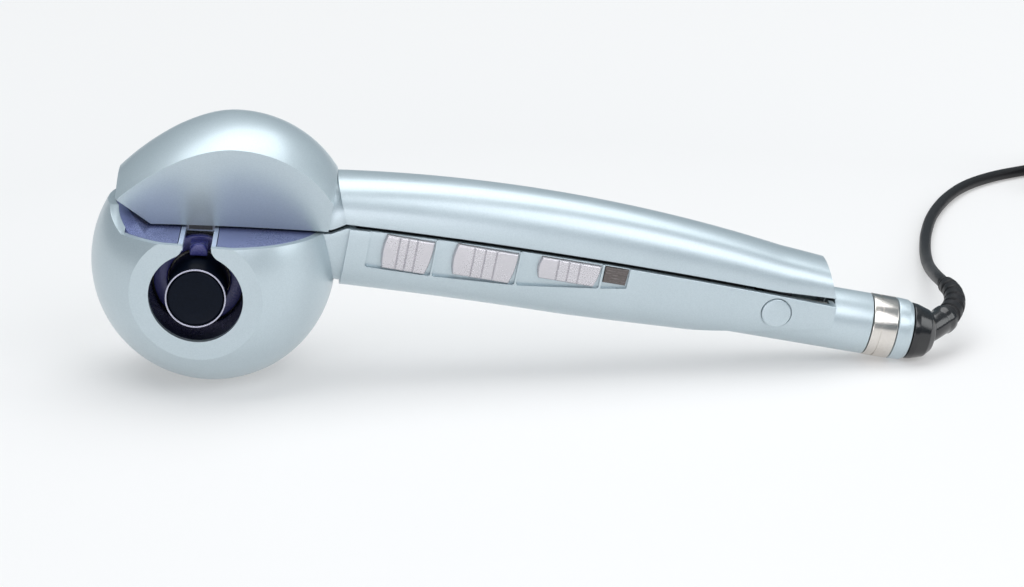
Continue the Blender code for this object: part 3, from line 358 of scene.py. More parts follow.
def group(name, inputs, outputs):
    # an empty shader group; an input's kind follows from how many numbers its value has
    tree = bpy.data.node_groups.new(name, "ShaderNodeTree")
    for label, value in inputs.items():
        kind = {1: "Float", 3: "Vector", 4: "Color"}[np.size(value)]
        tree.interface.new_socket(label, in_out="INPUT", socket_type="NodeSocket" + kind).default_value = value
    for label, kind in outputs.items():
        tree.interface.new_socket(label, in_out="OUTPUT", socket_type="NodeSocket" + kind)
    return tree, tree.nodes.new("NodeGroupInput"), tree.nodes.new("NodeGroupOutput")


def mathNode(tree, operation, *values):
    node = tree.nodes.new("ShaderNodeMath")
    node.operation = operation
    for socket, value in zip(node.inputs, values):
        if isinstance(value, (int, float)):
            socket.default_value = value
        else:
            tree.links.new(value, socket)
    return node.outputs[0]


def noiseNode(tree, scale, detail, source, low=0.35, high=0.65):
    # cloudy noise stretched to run from 0 to 1
    coord = tree.nodes.new("ShaderNodeTexCoord")
    noise = tree.nodes.new("ShaderNodeTexNoise")
    noise.inputs["Detail"].default_value = detail
    tree.links.new(source or coord.outputs["Object"], noise.inputs["Vector"])
    if isinstance(scale, (int, float)):
        noise.inputs["Scale"].default_value = scale
    else:
        tree.links.new(scale, noise.inputs["Scale"])
    span = tree.nodes.new("ShaderNodeMapRange")
    span.inputs["From Min"].default_value = low
    span.inputs["From Max"].default_value = high
    tree.links.new(noise.outputs["Fac"], span.inputs["Value"])
    return span.outputs["Result"]


def makeGrainGroup():
    # fine moulded grain over a slow waviness: one height, one mask and one roughness
    tree, given, out = group("mouldedGrain", {
        "Grain Scale": 1800.0, "Grain Depth": 1.0, "Wave Depth": 0.3, "Rough Low": 0.3, "Rough High": 0.4,
    }, {"Height": "Float", "Mask": "Float", "Roughness": "Float"})
    grain = noiseNode(tree, given.outputs["Grain Scale"], 3.0, None)
    wave = noiseNode(tree, 70.0, 2.0, None)
    cloud = noiseNode(tree, 28.0, 4.0, None)
    height = mathNode(tree, "ADD", mathNode(tree, "MULTIPLY", grain, given.outputs["Grain Depth"]),
                      mathNode(tree, "MULTIPLY", wave, given.outputs["Wave Depth"]))
    tree.links.new(height, out.inputs["Height"])
    mask = mathNode(tree, "MULTIPLY_ADD", grain, 0.35, mathNode(tree, "MULTIPLY", cloud, 0.65))
    tree.links.new(mask, out.inputs["Mask"])
    span = tree.nodes.new("ShaderNodeMapRange")
    tree.links.new(mask, span.inputs["Value"])
    tree.links.new(given.outputs["Rough Low"], span.inputs["To Min"])
    tree.links.new(given.outputs["Rough High"], span.inputs["To Max"])
    tree.links.new(span.outputs["Result"], out.inputs["Roughness"])
    return tree


def makeFlakeGroup():
    # metal flakes in the paint: each small cell shines a little differently
    tree, given, out = group("paintFlake", {
        "Flake Scale": 3200.0, "Base": (0.6, 0.7, 0.75, 1.0), "Flake": (0.7, 0.8, 0.85, 1.0), "Mask": 0.5,
    }, {"Colour": "Color"})
    coord = tree.nodes.new("ShaderNodeTexCoord")
    cells = tree.nodes.new("ShaderNodeTexVoronoi")
    tree.links.new(coord.outputs["Object"], cells.inputs["Vector"])
    tree.links.new(given.outputs["Flake Scale"], cells.inputs["Scale"])
    split = tree.nodes.new("ShaderNodeSeparateColor")
    tree.links.new(cells.outputs["Color"], split.inputs["Color"])
    both = mathNode(tree, "MULTIPLY_ADD", split.outputs["Red"], 0.55,
                    mathNode(tree, "MULTIPLY", given.outputs["Mask"], 0.45))
    mix = tree.nodes.new("ShaderNodeMix")
    mix.data_type = "RGBA"
    tree.links.new(both, mix.inputs["Factor"])
    tree.links.new(given.outputs["Base"], mix.inputs["A"])
    tree.links.new(given.outputs["Flake"], mix.inputs["B"])
    tree.links.new(mix.outputs["Result"], out.inputs["Colour"])
    return tree


def makeStripeGroup():
    # waves across one direction of the handle, such as ribs, turning marks or a rippled lens
    tree, given, out = group("stripes", {"Spacing": 0.001, "Direction": (0.0, 0.0, 1.0), "Wobble": 0.0},
                             {"Height": "Float"})
    coord = tree.nodes.new("ShaderNodeTexCoord")
    dot = tree.nodes.new("ShaderNodeVectorMath")
    dot.operation = "DOT_PRODUCT"
    tree.links.new(coord.outputs["Object"], dot.inputs[0])
    tree.links.new(given.outputs["Direction"], dot.inputs[1])
    wobble = mathNode(tree, "MULTIPLY", noiseNode(tree, 220.0, 1.0, None), given.outputs["Wobble"])
    turns = mathNode(tree, "DIVIDE", mathNode(tree, "ADD", dot.outputs["Value"], wobble), given.outputs["Spacing"])
    wave = mathNode(tree, "SINE", mathNode(tree, "MULTIPLY", turns, 2.0 * math.pi))
    tree.links.new(mathNode(tree, "MULTIPLY_ADD", wave, 0.5, 0.5), out.inputs["Height"])
    return tree


grainGroup = makeGrainGroup()
flakeGroup = makeFlakeGroup()
stripeGroup = makeStripeGroup()
tailAxis = (tiltCos, 0.0, -tiltSin)


def placeGroup(tree, made, **values):
    node = made.nodes.new("ShaderNodeGroup")
    node.node_tree = tree
    for label, value in values.items():
        socket = node.inputs[label.replace("_", " ")]
        if isinstance(value, bpy.types.NodeSocket):
            made.links.new(value, socket)
        else:
            socket.default_value = value
    return node


def finishLook(name, base, second, rough=(0.3, 0.4), metallic=0.0, coat=0.0, grain=1800.0, depth=1.0, wave=0.3,
               bump=0.000004, flake=None, stripes=None, clear=0.0, specular=0.5, glow=None):
    # one finish: grained or flaked colour, grained roughness, a fine relief and an optional stripe
    made = bpy.data.materials.new(name)
    made.use_nodes = True
    tree = made.node_tree
    shader = tree.nodes["Principled BSDF"]
    grained = placeGroup(grainGroup, tree, Grain_Scale=grain, Grain_Depth=depth, Wave_Depth=wave, Rough_Low=rough[0],
                         Rough_High=rough[1])
    coloured = placeGroup(flakeGroup, tree, Flake_Scale=flake or grain, Base=(*base, 1.0), Flake=(*second, 1.0),
                          Mask=grained.outputs["Mask"])
    tree.links.new(coloured.outputs["Colour"], shader.inputs["Base Color"])
    tree.links.new(grained.outputs["Roughness"], shader.inputs["Roughness"])
    height = grained.outputs["Height"]
    if stripes:
        striped = placeGroup(stripeGroup, tree, Spacing=stripes[0], Direction=stripes[1], Wobble=stripes[3])
        height = mathNode(tree, "ADD", height, mathNode(tree, "MULTIPLY", striped.outputs["Height"], stripes[2]))
    raised = tree.nodes.new("ShaderNodeBump")
    raised.inputs["Distance"].default_value = bump
    tree.links.new(height, raised.inputs["Height"])
    tree.links.new(raised.outputs["Normal"], shader.inputs["Normal"])
    shader.inputs["Metallic"].default_value = metallic
    shader.inputs["Coat Weight"].default_value = coat
    shader.inputs["Coat Roughness"].default_value = 0.12
    shader.inputs["Specular IOR Level"].default_value = specular
    shader.inputs["Transmission Weight"].default_value = clear
    if glow:
        shader.inputs["Emission Color"].default_value = (*glow, 1.0)
        shader.inputs["Emission Strength"].default_value = 0.25
    return made


looks = {
    # colours, roughness span, metallic, coat, grain size, grain depth and slow waviness
    "paint": finishLook("iceBluePaint", (0.48, 0.565, 0.605), (0.555, 0.64, 0.68),
        (0.32, 0.38), 0.50, 0.12, 2600.0, 0.5, 0.05, bump=0.0000015, flake=3400.0),
    # the deck's blue is painted light: it stands for the chamber lamp's blue glow falling on the deck
    "deck": finishLook("deckPaintedLampBlue", (0.17, 0.20, 0.40), (0.21, 0.245, 0.47),
        (0.24, 0.32), 0.4, 0.2, 2400.0, 0.5, 0.1, bump=0.000002),
    "clear": finishLook("clearGuide", (0.50, 0.60, 0.80), (0.58, 0.68, 0.86),
        (0.08, 0.14), 0.0, 0.4, 1500.0, 0.3, 0.4),
    "chamber": finishLook("chamberPlastic", (0.003, 0.007, 0.011), (0.006, 0.012, 0.018),
        (0.22, 0.34), 0.0, 0.1, 1600.0, 0.8, 0.5),
    "ceramic": finishLook("barrelCeramic", (0.002, 0.004, 0.009), (0.004, 0.007, 0.015),
        (0.34, 0.42), 0.0, 0.0, 2000.0, 0.5, 0.3, specular=0.08),
    "rim": finishLook("barrelRim", (0.42, 0.42, 0.52), (0.52, 0.52, 0.62),
        (0.22, 0.32), 0.6, 0.1, 2000.0, 0.5, 0.2),
    "hook": finishLook("rotorPlastic", (0.040, 0.045, 0.200), (0.055, 0.060, 0.250),
        (0.22, 0.32), 0.1, 0.2, 1900.0, 0.6, 0.4),
    "cap": finishLook("sliderSatin", (0.56, 0.55, 0.58), (0.64, 0.62, 0.65),
        (0.24, 0.32), 0.6, 0.15, 2600.0, 0.4, 0.05, bump=0.0000006),
    "lens": finishLook("smokedLens", (0.08, 0.065, 0.06), (0.12, 0.10, 0.095),
        (0.12, 0.2), 0.1, 0.5, 1700.0, 0.3, 0.3, bump=0.00009, stripes=(0.0011, (0.0, 0.0, 1.0), 1.0, 0.0012)),
    "silver": finishLook("silverBand", (0.66, 0.62, 0.58), (0.74, 0.71, 0.67),
        (0.18, 0.26), 1.0, 0.0, 2200.0, 0.4, 0.2, stripes=(0.0004, tailAxis, 0.6, 0.0)),
    "rubber": finishLook("cordRubber", (0.010, 0.010, 0.011), (0.018, 0.018, 0.020),
        (0.42, 0.52), 0.0, 0.0, 2400.0, 1.0, 0.3, bump=0.00001, specular=0.3),
    "gloss": finishLook("swivelPlastic", (0.006, 0.006, 0.007), (0.012, 0.012, 0.014),
        (0.16, 0.24), 0.0, 0.3, 1800.0, 0.4, 0.3),
    "dark": finishLook("innerPlastic", (0.030, 0.034, 0.040), (0.050, 0.054, 0.060),
        (0.40, 0.52), 0.0, 0.0, 1500.0, 1.0, 0.3, bump=0.00001),
    "steel": finishLook("brushedSteel", (0.58, 0.58, 0.60), (0.72, 0.72, 0.73),
        (0.22, 0.36), 1.0, 0.0, 2600.0, 0.7, 0.2, stripes=(0.0003, (0.0, 1.0, 0.0), 0.7, 0.0002)),
    "brass": finishLook("turnedBrass", (0.70, 0.53, 0.24), (0.84, 0.68, 0.36),
        (0.20, 0.34), 1.0, 0.0, 2400.0, 0.6, 0.2, stripes=(0.0003, (0.0, 1.0, 0.0), 0.5, 0.0)),
    "nylon": finishLook("naturalNylon", (0.76, 0.74, 0.66), (0.86, 0.84, 0.78),
        (0.42, 0.55), 0.0, 0.0, 1500.0, 1.0, 0.3, bump=0.00001),
    "board": finishLook("boardGreen", (0.030, 0.16, 0.075), (0.055, 0.24, 0.12),
        (0.30, 0.45), 0.0, 0.2, 1300.0, 1.0, 0.2, flake=700.0, bump=0.00002),
    "lamp": finishLook("lampLens", (0.50, 0.54, 0.95), (0.66, 0.70, 1.0),
        (0.10, 0.18), 0.0, 0.4, 1500.0, 0.3, 0.3, glow=(0.45, 0.5, 1.0)),
}
print("finishes: %d" % len(looks))
makeStage()


# the lead: route on the ground, one round coil, then the plug

lead = {
    "radius": 2.5 * mm,
    "reliefEnds": ((262.4, 0.0, 10.2), (266.4, 3.0, 11.2), (271.4, 8.0, 12.4), (275.4, 14.0, 13.6),
                   (278.0, 20.0, 14.9), (279.1, 26.0, 16.0), (279.2, 32.0, 16.7), (278.8, 38.0, 16.6)),
    "ground": ((278.7, 38.4, 16.6), (278.8, 48.0, 15.7), (279.8, 60.0, 13.8), (281.6, 75.0, 11.2),
               (284.2, 93.0, 8.2), (288.0, 115.0, 5.2), (292.4, 137.0, 3.5), (298.4, 162.0, 2.8), (307.2, 190.0, 2.7),
               (319.6, 218.0, 2.7), (333.5, 240.0, 2.7), (350.0, 256.0, 2.7), (367.5, 266.5, 2.7)),
    "plugLead": ((445.0, 238.0, 2.7), (445.0, 231.0, 2.8), (445.0, 224.0, 3.8), (445.0, 216.0, 5.6),
                 (445.0, 209.0, 7.0), (445.0, 204.0, 7.2)),
    "coilCentre": (407.0, 246.0),
    "coilRadii": (33.0, 28.0, 23.0, 23.0, 28.0, 33.0, 33.0, 28.0, 23.0),
    "coilHeights": (2.6, 2.6, 2.6, 7.55, 7.55, 7.55, 12.5, 12.5, 12.5),
}


def fromBall(route):
    # millimetres counted from the ball's centre line, as metres in the frame
    return np.array(route, float) * mm + np.array([ballX, 0.0, 0.0])


def eased(x):
    x = np.clip(x, 0.0, 1.0)
    return x * x * (3.0 - 2.0 * x)


def coilRoute():
    # turn by turn clockwise; the radius and height pass to the next turn in its last sixth
    # the far end climbs over the turns and comes down outside them
    s = np.arange(-40.2, 3340.0, 12.0)
    radii, heights = lead["coilRadii"], lead["coilHeights"]
    radius, height = np.full_like(s, radii[0]), np.full_like(s, heights[0])
    for turn in range(1, len(radii)):
        move = eased((s - 360.0 * turn + 60.0) / 60.0)
        radius += (radii[turn] - radii[turn - 1]) * move
        height += (heights[turn] - heights[turn - 1]) * move
    radius += 6.05 * np.clip(-s / 40.2, 0.0, 1.0) ** 2
    height += 5.0 * eased((s - 3120.0) / 60.0) - 14.8 * eased((s - 3262.0) / 66.0)
    radius += 15.2 * eased((s - 3175.0) / 92.0)
    angle = np.radians(100.0 - s)
    x, y = lead["coilCentre"]
    return np.stack([x + radius * np.cos(angle), y + radius * np.sin(angle), height], -1)


def makeLead():
    whole = np.concatenate([np.array(lead["ground"]), coilRoute(), np.array(lead["plugLead"])])
    path = curveThrough(fromBall(whole), 4.5 * mm)
    cable = swept("cordCable", path, np.full(len(path), lead["radius"]), 14)
    cable.data.materials.append(looks["rubber"])
    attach(cable, "lead")
    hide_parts("cord_tube", "cord_coil", "cord_plug_lead")

    # the strain relief tapers, with five grooves in its length
    relief = curveThrough(fromBall(lead["reliefEnds"]), 0.35 * mm)
    relief = relief[relief[:, 1] >= 8.6 * mm]
    t = np.linspace(0.0, 1.0, len(relief))
    groove = np.clip(np.cos((t * 5.6 + 0.5) * 2.0 * np.pi) * 3.0 - 1.4, 0.0, 1.0) * (t > 0.06) * (t < 0.97)
    radii = (4.75 - 1.4 * t) * mm - 0.75 * mm * groove
    sleeve = swept("cordRelief", relief, radii, 32)
    dress(sleeve, "lead", looks["rubber"], ("strain_relief",), 40.0)

    x = 445.0
    # the plug's stations: place along it, half width, underside and top
    stops = np.array([
        (203.8, 2.9, 4.4, 10.0), (203.4, 4.2, 3.3, 11.1), (195.0, 5.2, 2.5, 11.9), (191.0, 6.6, 2.0, 12.4),
        (186.0, 9.8, 1.0, 13.3), (180.0, 12.2, 0.4, 13.9), (174.0, 12.9, 0.3, 14.0), (166.2, 13.0, 0.3, 14.0),
        (165.2, 12.7, 0.6, 13.7), (164.7, 11.6, 1.5, 12.8)])
    fine = curveThrough(stops[:, :3], 0.9)
    high = np.interp(-fine[:, 0], -stops[:, 0], stops[:, 3])
    angle = np.linspace(0.0, 2.0 * np.pi, 48, endpoint=False)
    c, sn = np.cos(angle), np.sin(angle)
    across = np.sign(c) * np.abs(c) ** 0.6
    up = np.sign(sn) * np.abs(sn) ** 0.6
    middles = (fine[:, 2] + high) / 2.0
    half = (high - fine[:, 2]) / 2.0
    ribs = 0.35 * np.clip(np.sin(fine[:, 0] * 2.0) * 2.0, 0.0, 1.0) * (fine[:, 0] > 170.0) * (fine[:, 0] < 179.0)
    width = fine[:, 1] - ribs
    grid = np.stack([x + across[None, :] * width[:, None], np.broadcast_to(fine[:, 0][:, None], (len(fine), 48)),
                     middles[:, None] + up[None, :] * half[:, None]], -1)
    plug = surface("mainsPlug", fromBall(grid), worldPlace)
    dress(plug, "lead", looks["gloss"], ("plug_body",), 40.0)
    for index, side in enumerate((-1.0, 1.0)):
        tip = rounded([(0.0, 145.3), (1.95, 145.3), (2.0, 164.3), (0.0, 164.3)], [0.8, 0.0])
        pin = turned("plugPin%d" % (index + 1), tip * mm, ballPlace, "Y",
                     ((x + side * 9.3) * mm, 0.0, 7.15 * mm), 40)
        dress(pin, "lead", looks["brass"], ("plug_pin_%d" % (index + 1),))


makeLead()


# shapes that the shells share


def parting(u):
    # height of the joint between lever and housing, a shallow arch
    return 26.9 * mm - 0.26 * (u - 0.148) ** 2


def halfWidth(u):
    # half the handle's width, less towards the tail
    s = np.clip((u - 0.090) / 0.136, 0.0, 1.0)
    return 15.6 * mm - 2.4 * mm * s * s


def lowerDepth(u):
    s = np.clip((u - 0.125) / 0.100, 0.0, 1.0)
    return 25.1 * mm - 6.0 * mm * s ** 1.4


def upperHeight(u):
    return 18.4 * mm - 0.60 * (u - 0.112) ** 2


def leverEdge(u):
    # the joint's gap grows behind the pivot, where the lever swings down
    return parting(u) + 0.75 * mm + 0.07 * np.maximum(u - layout["pivotU"], 0.0)


def housingEdge(u):
    return parting(u) - 0.75 * mm


def halfSection(width, depth, steps=44, roll=0.5 * mm):
    # half a superellipse with both its ends rolled in: across (first) and away from the joint (second)
    a = np.pi * np.arange(steps + 1) / steps
    power = 2.0 / layout["sectionPower"]
    across = np.sign(-np.cos(a)) * np.abs(np.cos(a)) ** power * width
    away = roll + np.abs(np.sin(a)) ** power * (depth - roll)
    turn = np.pi / 2.0 * np.arange(4) / 4.0
    sideways, down = width - roll + roll * np.sin(turn), roll - roll * np.cos(turn)
    return (np.concatenate([-sideways, across, sideways[::-1]]), np.concatenate([down, away, down[::-1]]))


def handleHalf(name, offset, low, high, extra, lower, count=60, roll=0.5 * mm):
    # the handle's lower or upper half, grown or shrunk by the offset; extra carries its open side past the joint
    rows = []
    for u in np.linspace(low, high, count):
        edge = housingEdge(u) if lower else leverEdge(u)
        depth = (lowerDepth(u) - 0.7 * mm if lower else upperHeight(u)) + offset
        across, away = halfSection(halfWidth(u) + offset, depth, roll=roll)
        if extra > 0.0:
            across = np.concatenate([[across[0]], across, [across[-1]]])
            away = np.concatenate([[-extra], away, [-extra]])
        height = edge - away if lower else edge + away
        rows.append(np.stack([np.full(len(across), u), across, height], -1))
    return surface(name, np.stack(rows), handlePlace)


def keyholeOutline(radius, slot, shoulder, top, steps=72):
    # the chamber's outline: a circle, two hollow shoulders and a straight slot up to the top
    reach = math.sqrt((radius + shoulder) ** 2 - (slot + shoulder) ** 2)
    touch = math.atan2(reach, slot + shoulder)
    a = touch - (math.pi + 2.0 * touch) * np.arange(steps + 1) / steps
    circle = np.stack([radius * np.cos(a), radius * np.sin(a)], -1)
    turn = (touch + math.pi) + (math.pi - (touch + math.pi)) * np.arange(1, 11) / 10.0
    right = np.stack([slot + shoulder + shoulder * np.cos(turn), reach + shoulder * np.sin(turn)], -1)
    left = right * (-1.0, 1.0)
    ends = np.array([(-slot, top), (slot, top)])
    return np.concatenate([circle, left, ends, right[::-1]]) + np.array([chamber["x"], chamber["z"]])


def noseBlock(name, low, high, top, extra=0.0):
    # flat on top and sloping down to the deck at both ends
    half = 10.0 * mm + extra
    foot = half + (top - head["deck"] + 2.0 * mm) / 0.41
    base = head["deck"] - 2.0 * mm
    outline = [(-foot, base), (foot, base), (half, top), (-half, top)]
    return extruded(name, outline, low, high, headPlace, "X")


chamber = {
    "x": -4.6 * mm, "z": -4.35 * mm, "radius": 16.7 * mm, "back": -9.3 * mm, "slot": 5.0 * mm,
    "barrelRadius": 10.6 * mm, "barrelFace": -36.9 * mm,
}
axisAt = (chamber["x"], 0.0, chamber["z"])
head = {
    "deck": 15.0 * mm, "deckThick": 2.5 * mm, "wall": 2.5 * mm, "noseTop": 21.4 * mm,
    "facetDepth": 37.1 * mm, "facet": (-0.124, -0.985, -0.117), "jawUnder": 16.0 * mm,
    "domeCentre": (6.8 * mm, 0.0, 13.25 * mm), "domeRadii": (43.4 * mm, 41.0 * mm, 41.3 * mm),
    "domeWall": 2.4 * mm, "domeRear": 38.5 * mm, "noseCut": 34.6 * mm,
    "facetLean": math.atan2(10.0, 29.0), "facetOffset": 8.96 * mm, "facetHollow": 1.2 * mm,
    "chamfer": (-math.sin(math.radians(38.0)), 0.0, -math.cos(math.radians(38.0))), "chamferOffset": 1.0 * mm,
}
head["farFacet"] = (head["facet"][0], -head["facet"][1], head["facet"][2])
handle = {
    "start": 46.0 * mm, "end": 226.0 * mm, "wall": 2.2 * mm, "tailRadius": 11.4 * mm, "endRing": 11.2 * mm,
    "slopeFrom": (170.0 * mm, 3.4 * mm), "slopeTo": (226.0 * mm, 16.0 * mm),
    "screws": ((62.0, 5.2), (106.0, 5.2), (158.0, 8.0)),
}
sliders = {
    # name: front, rear, lowest and highest edge, height of the stem, then the pocket's front and rear
    "time": (58.5, 76.8, 11.1, 24.0, 17.0, 53.4, 77.2),
    "heat": (84.0, 107.3, 13.1, 25.0, 18.6, 77.8, 107.7),
    "direction": (114.8, 137.6, 17.3, 25.6, 19.3, 108.4, 138.0),
}
lens = (139.0 * mm, 147.8 * mm, 19.6 * mm, 25.8 * mm)
pivotAt = (layout["pivotU"], 0.0, layout["pivotW"])


def facetPlanes(inset):
    # the flats on the ball's near and far side, moved inwards
    return tuple((head[side], head["facetDepth"] - inset) for side in ("facet", "farFacet"))


def ballSolid(name, radius):
    return ellipsoid(name, (radius,) * 3, (0.0, 0.0, 0.0), headPlace)


def roundBar(name, radius, low, high, place, axis="Y", centre=(0.0, 0.0, 0.0), steps=64):
    return turned(name, [(0.0, low), (radius, low), (radius, high), (0.0, high)], place, axis, centre, steps)


def ringBar(name, inner, outer, low, high, place, axis="Y", centre=(0.0, 0.0, 0.0), soften=0.2 * mm, steps=96):
    # a ring with its four corners rounded
    outline = roundedRing([(inner, low), (outer, low), (outer, high), (inner, high)], [soften] * 4, 4)
    return turned(name, outline, place, axis, centre, steps, loop=True)


# lower housing, in two halves that meet along the middle

past = 60.0 * mm  # any distance that reaches well past the ball
neck = {
    # stations along the handle in millimetres: the joint's height, then the outer height
    "lower": {"stops": ((30.0, 18.6, 0.8), (39.5, 20.0, 0.6), (45.2, 23.3, 0.4), (50.0, 23.4, 0.4)),
              "halfWidth": 13.8 * mm, "roll": 0.2 * mm, "rows": 16},
    "upper": {"stops": ((28.0, 20.2, 37.4), (39.8, 21.4, 38.6), (45.4, 25.0, 39.1), (52.0, 25.6, 39.6)),
              "halfWidth": 13.6 * mm, "roll": 0.3 * mm, "rows": 18},
}
pocket = {
    "floorStops": ((53.4, 10.2), (77.5, 10.7), (109.0, 12.8), (138.0, 16.9), (149.4, 18.8)),
    "depth": 1.2 * mm, "corner": 0.9 * mm, "top": 30.0 * mm, "columns": 12,
}


def neckSolid(name, shape, shrink=0.0):
    stops = np.array(shape["stops"])
    rows = []
    for u in np.linspace(stops[0, 0], stops[-1, 0], shape["rows"]):
        edge, outer = np.interp(u, stops[:, 0], stops[:, 1]), np.interp(u, stops[:, 0], stops[:, 2])
        across, away = halfSection(shape["halfWidth"] - shrink, abs(outer - edge) * mm - shrink, roll=shape["roll"])
        height = edge * mm + np.sign(outer - edge) * away
        rows.append(np.stack([np.full(len(across), u * mm), across, height], -1))
    return surface(name, np.stack(rows), handlePlace)


def slopePlane():
    # the underside runs up to the rear and uncovers the tail tube
    (u0, w0), (u1, w1) = handle["slopeFrom"], handle["slopeTo"]
    slope = math.atan2(w1 - w0, u1 - u0)
    normal = (math.sin(slope), 0.0, -math.cos(slope))
    return normal, u0 * normal[0] + w0 * normal[2]


def sidePocket(name, front, rear):
    stops = np.array(pocket["floorStops"]) * mm
    u = np.linspace(front, rear, pocket["columns"])
    low = np.interp(u, stops[:, 0], stops[:, 1])
    outline = np.concatenate([np.stack([u, low], -1), [(rear, pocket["top"]), (front, pocket["top"])]])
    corner = pocket["corner"]
    outline = roundedRing(outline.tolist(), [corner] + [0.0] * 10 + [corner, 0.0, 0.0], 4)
    made = extruded(name, outline, -30.0 * mm, -5.0 * mm, handlePlace)
    return shaped(made, handleHalf("pocketFloor", -pocket["depth"], 48.0 * mm, 160.0 * mm, 8.0 * mm, True))


def sideWindow(front, rear, low, high):
    return block("window", (front, -20.0 * mm, low), (rear, -9.0 * mm, high), handlePlace)


def makeLowerShell():
    r, wall, thin = layout["ballRadius"], head["wall"], handle["wall"]
    body = ballSolid("lowerShellNear", r)
    nose = ballSolid("noseRim", r - 0.01 * mm)
    shaped(nose, noseBlock("lip", -past, -30.5 * mm, head["noseTop"], 1.0 * mm), "INTERSECT")
    trim(body, headPlace, ((0, 0, 1), head["deck"]))
    shaped(body, nose, "UNION")
    trim(body, headPlace, *facetPlanes(0.0))
    trim(body, worldPlace, ((0, 0, -1), 0.0))
    shaped(body, neckSolid("neck", neck["lower"]), "UNION")
    shell = handleHalf("handleShell", 0.0, handle["start"], handle["end"], 0.0, True, 90)
    trim(shell, handlePlace, slopePlane())
    shaped(body, shell, "UNION")
    hollow = ballSolid("hollow", r - wall)
    trim(hollow, headPlace, *facetPlanes(wall))
    shaped(body, hollow)
    hollow = handleHalf("hollow", -thin, handle["start"] + thin, handle["end"] - thin, 8.0 * mm, True)
    for u, w in handle["screws"]:
        shaped(hollow, roundBar("boss", 3.1 * mm, -30.0 * mm, 30.0 * mm, handlePlace, "Y", (u * mm, 0.0, w * mm), 40))
    shaped(body, hollow)
    shaped(body, roundBar("tailHole", 9.4 * mm, 210.0 * mm, 240.0 * mm, handlePlace, "X", (0.0, 0.0, tailW)))
    shaped(body, neckSolid("passage", neck["lower"], 2.4 * mm))
    shaped(body, block("nearHalf", (-0.21, -0.07, -0.03), (0.19, -0.07 * mm, 0.11), worldPlace), "INTERSECT")
    # the hinge pin's hole with a wider seat for the cap
    seats = np.array([(0.0, -20.0), (5.8, -20.0), (5.8, -12.2), (2.1, -12.2), (2.1, 12.2), (0.0, 12.2)]) * mm
    shaped(body, turned("capSeat", seats, handlePlace, "Y", pivotAt, 72))
    # the far half is the near one's mirror image, taken before the chamber and the sliders are cut
    far = body.copy()
    far.data = body.data.copy()
    far.name = "lowerShellFar"
    far.data.transform(Matrix.Scale(-1.0, 4, (0.0, 1.0, 0.0)))
    far.data.flip_normals()
    bpy.context.collection.objects.link(far)
    bpy.context.view_layer.update()
    opening = keyholeOutline(chamber["radius"], chamber["slot"], 5.0 * mm, 30.0 * mm)
    shaped(body, extruded("keyhole", opening, -past, -30.0 * mm, headPlace))
    for start, end, low, high, stem, front, rear in sliders.values():
        shaped(body, sidePocket("pocket", front * mm, rear * mm))
        at = (start + end) / 2.0
        shaped(body, sideWindow((at - 8.4) * mm, (at + 3.0) * mm, (stem - 1.8) * mm, (stem + 1.8) * mm))
    front, rear, low, high = lens
    shaped(body, sidePocket("pocket", front - 0.3 * mm, rear + 0.3 * mm))
    shaped(body, sideWindow(front + 1.5 * mm, rear - 1.5 * mm, low + 1.3 * mm, high - 2.0 * mm))
    for u, w in handle["screws"]:
        profile = np.array([(0.0, -5.0), (1.5, -5.0), (1.5, 8.5), (2.5, 8.5), (2.5, 30.0), (0.0, 30.0)]) * mm
        shaped(far, turned("screwHole", profile, handlePlace, "Y", (u * mm, 0.0, w * mm), 40))
    dress(body, "housing", looks["paint"], ("lower_housing_near",))
    dress(far, "housing", looks["paint"], ("lower_housing_far",))


makeLowerShell()
print("lower housing made")


# upper cover: the domed jaw and the lever in one moulding


def facetCutter(side):
    # a leaning slab whose face bulges in a shallow arc, so that the facet it leaves is slightly hollow
    reach, bulge = 50.0 * mm, head["facetHollow"]
    a = np.linspace(-reach, reach, 49)
    depth = head["facetOffset"] - bulge * (1.0 - (a / (0.6 * reach)) ** 2)
    lean = head["facetLean"]
    out = np.array([0.0, side * math.cos(lean), -math.sin(lean)])
    up = np.array([0.0, side * math.sin(lean), math.cos(lean)])
    along = np.array([1.0, 0.0, 0.0])
    centre = head["domeCentre"][0]
    rows = []
    for height in (-80.0 * mm, 80.0 * mm):
        near = along * (centre + a[:, None]) + out * depth[:, None] + up * height
        far = along * (centre + a[::-1, None]) + out * 0.12 + up * height
        rows.append(np.concatenate([near, far]))
    return surface("facetSlab", np.stack(rows), headPlace, fan=False)


def domeSolid(name, shrink):
    # an ellipsoid whose nose swells: past 32 degrees from the top its radius grows with the square of the angle
    radii = np.array(head["domeRadii"]) - shrink
    made = ellipsoid(name, (1.0, 1.0, 1.0), (0.0, 0.0, 0.0), worldPlace)
    points = np.zeros(len(made.data.vertices) * 3)
    made.data.vertices.foreach_get("co", points)
    points = points.reshape(-1, 3)
    lean = np.degrees(np.arctan2(-points[:, 0], points[:, 2]))
    grown = 0.075 * np.clip((lean - 32.0) / 30.0, 0.0, 1.5) ** 2 - 0.022 * eased(lean / 28.0)
    grown = grown * eased((125.0 - lean) / 30.0) * (1.0 - points[:, 1] ** 2)
    points = points * (1.0 + grown[:, None]) * radii
    made.data.vertices.foreach_set("co", points.ravel())
    made.data.transform(headPlace @ Matrix.Translation(head["domeCentre"]))
    return made


